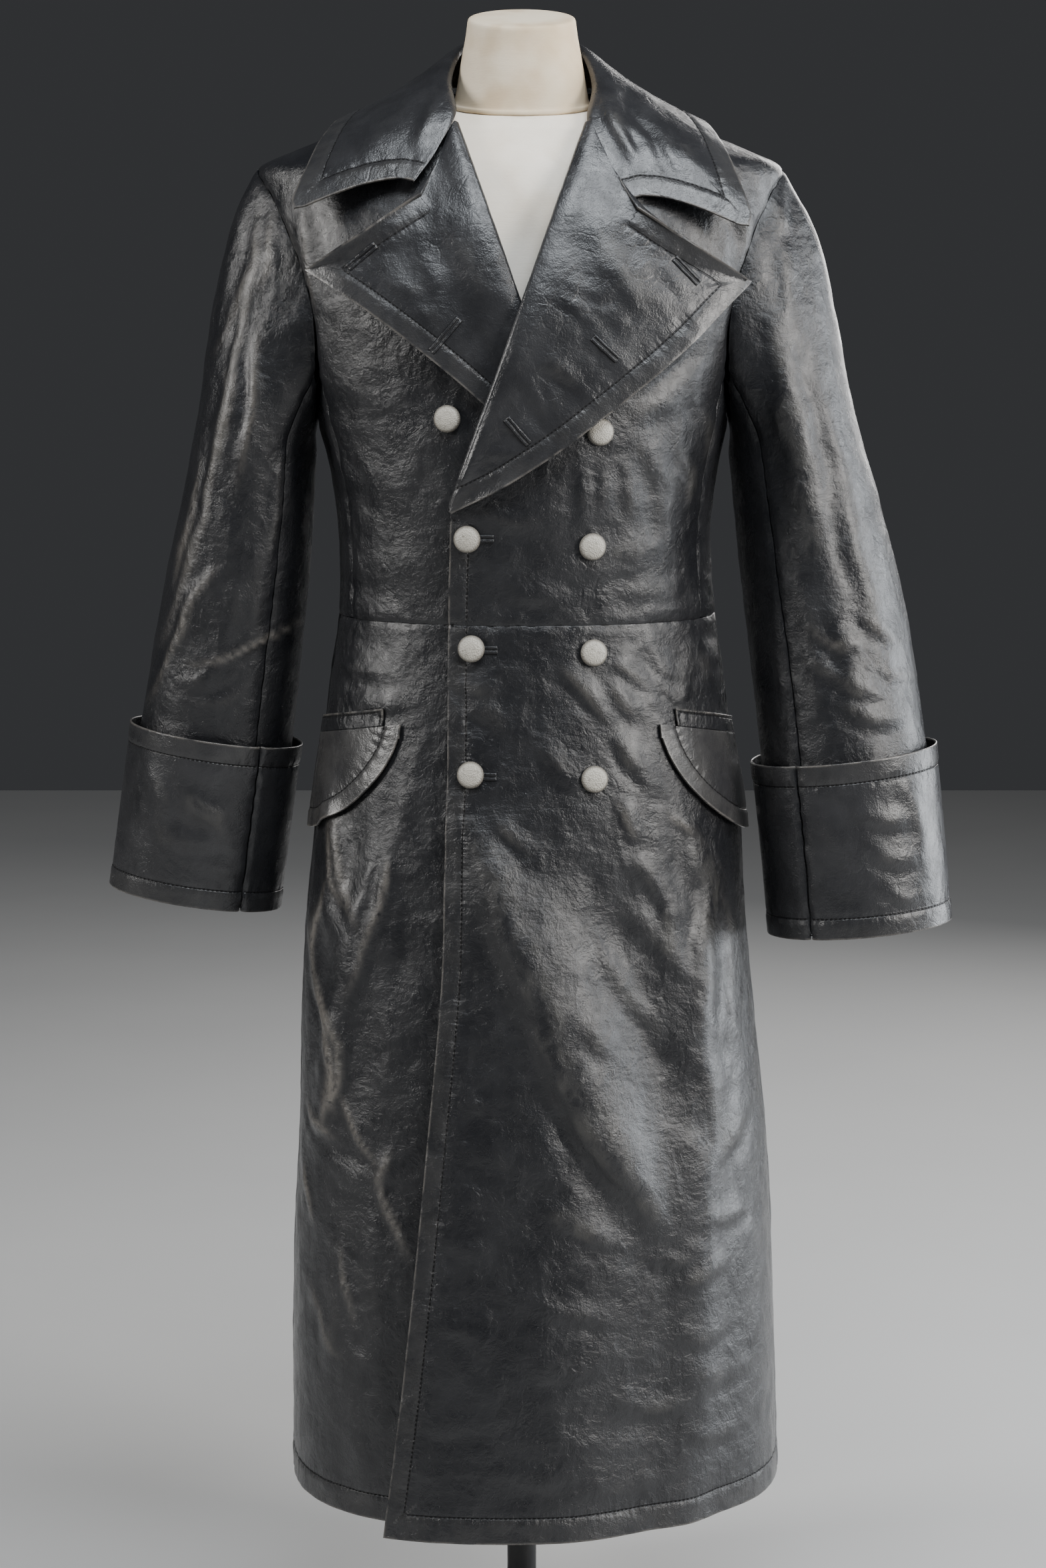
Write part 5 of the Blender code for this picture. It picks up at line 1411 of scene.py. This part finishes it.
for name, side, rings, creases, top_z, area in (
        ("left", 1, LEFT_SLEEVE, LEFT_CUFF_CREASES, LEFT_CUFF_TOP_Z, 0.083),
        ("right", -1, RIGHT_SLEEVE, RIGHT_CUFF_CREASES, RIGHT_CUFF_TOP_Z, 0.080)):
    panel(name + "_cuff_leather", 126, 50, cuff_place(rings, side, top_z),
          {"left": SEWN, "right": SEWN, "bottom": Turned(CUFF_STITCH), "top": Turned(CUFF_STITCH)},
          flat=(0.52, 0.17), area=area, rests_on=[name + "_top_sleeve", name + "_under_sleeve"],
          inside=(side * 0.30, 0, np.nan), creases=creases, finish=pressed_leather_painted_sheen, node=name + "_cuff", calm=0.5)


# Buttonholes: five bound ones on the lapels and three beside the buttons of the front edge.
# Two narrow lips of the same leather meet over a slit; the slit and the patch's border are painted near-black as
# shade, and each patch is sewn flat into its front.
class Buttonhole(NamedTuple):
    """A buttonhole as seen from in front: its ends, and the piece of leather it is in."""
    name: str
    x1: float
    z1: float
    x2: float
    z2: float
    front: str


BUTTONHOLES = (
    Buttonhole("left_lapel_hole_1", 0.134, 1.350, 0.157, 1.327, "left_lapel_leather"),
    Buttonhole("left_lapel_hole_2", 0.062, 1.281, 0.085, 1.260, "left_lapel_leather"),
    Buttonhole("left_lapel_hole_3", -0.014, 1.2105, 0.007, 1.187, "left_lapel_leather"),
    Buttonhole("right_lapel_hole_1", -0.154, 1.340, -0.128, 1.3615, "right_lapel_leather"),
    Buttonhole("right_lapel_hole_2", -0.080, 1.267, -0.054, 1.297, "right_lapel_leather"),
    Buttonhole("front_hole_1", -0.039, 1.104, -0.024, 1.104, "left_front_bodice_leather"),
    Buttonhole("front_hole_2", -0.036, 1.005, -0.021, 1.005, "left_front_skirt_leather"),
    Buttonhole("front_hole_3", -0.037, 0.893, -0.022, 0.893, "left_front_skirt_leather"),
)
HOLE_COLUMNS = 28
HOLE_ROWS = 12
HOLE_HALF_WIDTH = 0.0042
HOLE_LIP = 0.0011
HOLE_RAISE = 0.0004
HOLE_WALL = 0.0008
HOLE_END_FROM = 0.86
HOLE_END_SLOPE = 0.02

bpy.context.view_layer.update()
finished = bpy.context.evaluated_depsgraph_get()
for hole in BUTTONHOLES:
    leather = bvhtree.BVHTree.FromObject(bpy.data.objects[hole.front], finished)
    start, end = Vector((hole.x1, 0, hole.z1)), Vector((hole.x2, 0, hole.z2))
    aside = (end - start).normalized().cross(Vector((0, 1, 0))) * HOLE_HALF_WIDTH
    patch = bmesh.new()
    bmesh.ops.create_grid(patch, x_segments=HOLE_COLUMNS, y_segments=HOLE_ROWS, size=1.0)
    slit = []
    for vert in patch.verts:
        along, across = vert.co.x, vert.co.y
        spot = start.lerp(end, (along + 1) / 2) + aside * across
        place, normal, _, _ = leather.ray_cast(spot - Vector((0, 1, 0)), Vector((0, 1, 0)))
        inner = (1 - abs(across) ** 8) * (1 - abs(along) ** 24)
        lip = math.sin(math.pi * abs(across)) ** 0.7
        vert.co = place + normal * ((HOLE_RAISE + HOLE_LIP * lip + HOLE_WALL) * inner - HOLE_WALL)
        from_slit = max(abs(across) * HOLE_HALF_WIDTH, (abs(along) - HOLE_END_FROM) * HOLE_END_SLOPE)
        slit.append(min(from_slit, (1 - abs(across)) * HOLE_HALF_WIDTH))
    bmesh.ops.recalc_face_normals(patch, faces=patch.faces)
    mesh = mesh_of(hole.name, patch)
    if mesh.polygons[0].normal.y > 0:
        mesh.flip_normals()
    # from_stitch here is the way from the slit and from the patch's border, where the leather's finish paints
    # near-black shade.
    for key, values in (("from_edge", [FAR_OFF] * len(slit)), ("from_stitch", slit)):
        mesh.attributes.new(key, "FLOAT", "POINT").data.foreach_set("value", values)
    piece = add_piece(hole.name, mesh, black_leather, "black_leather")
    wall = piece.modifiers.new("wall", "SOLIDIFY")
    wall.thickness = HOLE_WALL
    wall.offset = -1.0


# Pockets: a slanted flap on each front skirt with a big rounded lower corner, and a welt strip above it.
# Black leather; the flap, painted lighter as painted light, is turned and topstitched along its curve, and the
# welt is sewn on by its edges.
class Pocket(NamedTuple):
    """A flap on the skirt, from its front corner round to the side, as turn angles from the side."""
    front_angle: float
    back_angle: float
    z: float
    drop: float
    height: float


LEFT_POCKET = Pocket(54.0, -14.0, 0.935, 0.030, 0.088)
RIGHT_POCKET = Pocket(57.0, -14.0, 0.935, 0.028, 0.088)
FLAP_CURVE_SHARE = 0.62
FLAP_LEAST_HEIGHT = 0.14
FLAP_EVEN = 0.45
POCKET_OUT = ON_TOP + 0.0006
FLAP_FOOT_OUT = 0.0065
FLAP_STITCH = 0.017
WELT_HEIGHT = 0.016
WELT_STITCH = 0.003
WELT_FRONT_CUT = 7.0


def flap_place(pocket, surface):
    """A pocket flap: straight on top, its front lower corner a quarter round."""
    def place(across, along):
        spread = FLAP_EVEN * across + (1 - FLAP_EVEN) * (1 - np.cos(across * np.pi / 2))
        angle = pocket.front_angle + (pocket.back_angle - pocket.front_angle) * spread
        curve = np.minimum(spread / FLAP_CURVE_SHARE, 1.0)
        height = np.maximum(np.sqrt(1 - (1 - curve) ** 2), FLAP_LEAST_HEIGHT) * pocket.height
        z = pocket.z - pocket.drop * spread - height * along
        return surface(angle, z, POCKET_OUT + (FLAP_FOOT_OUT - POCKET_OUT) * along * height / pocket.height)
    return place


def welt_place(pocket, surface):
    """The strip sewn on above a flap."""
    def place(across, along):
        start = pocket.front_angle - WELT_FRONT_CUT
        angle = start + (pocket.back_angle - start) * across
        spread = (pocket.front_angle - angle) / (pocket.front_angle - pocket.back_angle)
        return surface(angle, pocket.z - pocket.drop * spread + SEAM + WELT_HEIGHT * along, POCKET_OUT)
    return place


# The flaps get a lighter copy of the leather: painted light, with lighter scuffs and bare edges as well.
flap_leather_painted_light = leather_finish("flap_leather_painted_light", deep=(0.024, 0.024, 0.026, 1), mid=(0.052, 0.051, 0.050, 1),
                                 scuffed=(0.100, 0.096, 0.090, 1), bare=(0.165, 0.152, 0.138, 1), wrinkled=0.45)
for name, pocket, surface in (("left", LEFT_POCKET, on_left), ("right", RIGHT_POCKET, on_right)):
    panel(name + "_pocket_flap_leather", 84, 40, flap_place(pocket, surface),
          {"left": Turned(FLAP_STITCH), "top": Turned(FLAP_STITCH)}, finish=flap_leather_painted_light,
          flat=(0.21, 0.10), area=0.0175, rests_on=[name + "_front_skirt"], bunch=(0.0, 0.2),
          node=name + "_pocket_flap", calm=0.6)
    panel(name + "_pocket_welt_leather", 70, 10, welt_place(pocket, surface),
          {"top": Turned(WELT_STITCH), "left": Turned(WELT_STITCH)}, flat=(0.215, 0.0165), area=0.0034,
          rests_on=[name + "_front_skirt"], bunch=(0.2, 0.3), node=name + "_pocket_welt", calm=0.6)


# Buttons: eight domed buttons with a flat back and a sewn shank, in two columns.
# Pale grey plastic with a fine pebbled face and spots of grime, painted darker round the rim as shade.
class ButtonRing(NamedTuple):
    """A ring of a button, at an even step along its section."""
    along: float
    radius: float
    height: float


BUTTON_RINGS = evenly(ButtonRing, (
    (0.0055, 0.0000), (0.0058, 0.0010), (0.0108, 0.0016), (0.0119, 0.0021), (0.0121, 0.0028),
    (0.0118, 0.0037), (0.0108, 0.0050), (0.0085, 0.0064), (0.0050, 0.0073), (0.0018, 0.0076)))
BUTTON_RADIUS = max(ring.radius for ring in BUTTON_RINGS)


class ButtonPlace(NamedTuple):
    """A button by its place on the front, whether it sits on the left front, and its shank's extra length."""
    node: str
    x: float
    z: float
    on_left: bool
    shank: float


BUTTONS = (
    ButtonPlace("left_button_1", 0.0666, 1.198, True, 0.0),
    ButtonPlace("left_button_2", 0.060, 1.097, True, 0.0004),
    ButtonPlace("left_button_3", 0.062, 1.001, True, 0.0006),
    ButtonPlace("left_button_4", 0.063, 0.889, True, 0.0001),
    ButtonPlace("right_button_1", -0.065, 1.209, False, 0.0),
    ButtonPlace("right_button_2", -0.046, 1.104, True, 0.0),
    ButtonPlace("right_button_3", -0.043, 1.005, True, 0.0006),
    ButtonPlace("right_button_4", -0.044, 0.893, True, 0.0005),
)
BUTTON_PALE = (0.40, 0.38, 0.335, 1)
BUTTON_GRIME_AND_SHADE = (0.10, 0.090, 0.075, 1)

button_paint, shader, spot = new_finish("pale_button")
pebbles = spot.node("ShaderNodeTexVoronoi", {"feature": "SMOOTH_F1"}, {"Vector": spot, "Scale": 1 / 0.0011})
from_rim_way = spot.node("ShaderNodeAttribute", {"attribute_name": "from_rim"}, {}, "Fac")
grime = spot.noise(0.004, 4, 0.65).step(0.50, 0.75)
# Darker round the rim of each dome is painted shade; the noise spots are grime.
grime_and_rim_shade = grime.math("MAXIMUM", 0.5 * grime, (1 - from_rim_way.step(0.0, 0.0034)) * 0.9)
shader["Base Color"].take(grime_and_rim_shade.between(BUTTON_PALE, BUTTON_GRIME_AND_SHADE))
shader["Roughness"].take(0.42 + 0.2 * grime)
shader["Normal"].take((0.0007 * pebbles).relief())


def seat_of(button):
    """Where a button's back sits on its front, and which way it looks."""
    surface, side = (on_left, 1) if button.on_left else (on_right, -1)
    z = np.array(button.z)
    angle = own_angle(button.x * side, z, side)
    seat = LEATHER / 2 + SEAM + button.shank
    foot, ahead = Vector(surface(angle, z, np.array(seat))), Vector(surface(angle, z, np.array(2 * seat)))
    return foot, (ahead - foot).normalized()


for button in BUTTONS:
    foot, up = seat_of(button)
    spin = Vector((0, 0, 1)).rotation_difference(up).to_matrix()

    def button_point(share, turn, out):
        ring = read(BUTTON_RINGS, share)
        reach = ring.radius * out
        return foot + spin @ Vector((reach * math.cos(turn), reach * math.sin(turn), ring.height))

    mesh = turned_form(button.node + "_dome", 40, 40, button_point)
    rim = [BUTTON_RADIUS - ((vert.co - foot) - up * (vert.co - foot).dot(up)).length for vert in mesh.vertices]
    mesh.attributes.new("from_rim", "FLOAT", "POINT").data.foreach_set("value", rim)
    add_piece(button.node + "_dome", mesh, button_paint, "pale_button", button.node)


# Floor and light: a plain pale floor under five soft boxes. The strongest is in front on the coat's left;
# a cool one is above, a low one at its left side, one on its right and one behind.
floor_shape = bmesh.new()
bmesh.ops.create_grid(floor_shape, x_segments=1, y_segments=1, size=6.0)
floor = bpy.data.objects.new("floor", mesh_of("floor", floor_shape))
bpy.context.scene.collection.objects.link(floor)
floor_finish, shader, spot = new_finish("pale_floor")
shader["Base Color"].take(spot.noise(0.4, 3).between((0.44, 0.44, 0.44, 1), (0.48, 0.48, 0.476, 1)))
shader["Roughness"].take(0.85)
floor.data.materials.append(floor_finish)

world = bpy.data.worlds.new("studio")
world.use_nodes = True
world.node_tree.nodes["Background"].inputs["Color"].default_value = (0.30, 0.31, 0.33, 1)
world.node_tree.nodes["Background"].inputs["Strength"].default_value = 0.12
bpy.context.scene.world = world


def soft_light(name, place, aim, width, height, power, colour):
    """A soft box that looks at a point."""
    data = bpy.data.lights.new(name, "AREA")
    data.shape = "RECTANGLE"
    data.size = width
    data.size_y = height
    data.energy = power
    data.color = colour
    lamp = bpy.data.objects.new(name, data)
    lamp.location = place
    lamp.rotation_euler = (Vector(aim) - Vector(place)).to_track_quat("-Z", "Y").to_euler()
    bpy.context.scene.collection.objects.link(lamp)


soft_light("key", (2.8, -1.8, 2.2), (0, 0, 1.20), 1.2, 1.8, 136, (1.0, 0.97, 0.93))
soft_light("side", (2.7, 0.6, 1.2), (0, 0, 0.95), 1.5, 2.0, 90, (0.92, 0.96, 1.0))
soft_light("behind", (1.5, 3.0, 2.1), (0, 0, 1.0), 1.4, 1.6, 50, (1.0, 0.98, 0.96))
soft_light("top", (0.5, -1.3, 3.4), (0, -0.05, 1.2), 1.6, 0.9, 76, (0.90, 0.95, 1.0))
soft_light("fill", (-2.9, -1.1, 2.2), (0, 0, 1.35), 0.7, 1.5, 82, (1.0, 0.98, 0.95))

PHOTO_HEIGHT = 2350
PHOTO_FOCAL = 4993
SENSOR = 36
LOOKS_DOWN = 8.02
camera_data = bpy.data.cameras.new("camera")
camera_data.sensor_fit = "VERTICAL"
camera_data.sensor_height = SENSOR
camera_data.lens = PHOTO_FOCAL / PHOTO_HEIGHT * SENSOR
camera = bpy.data.objects.new("camera", camera_data)
camera.location = (0.0012, -3.1, 1.30)
camera.rotation_euler = (math.radians(90 - LOOKS_DOWN), 0, 0)
bpy.context.scene.collection.objects.link(camera)
bpy.context.scene.camera = camera
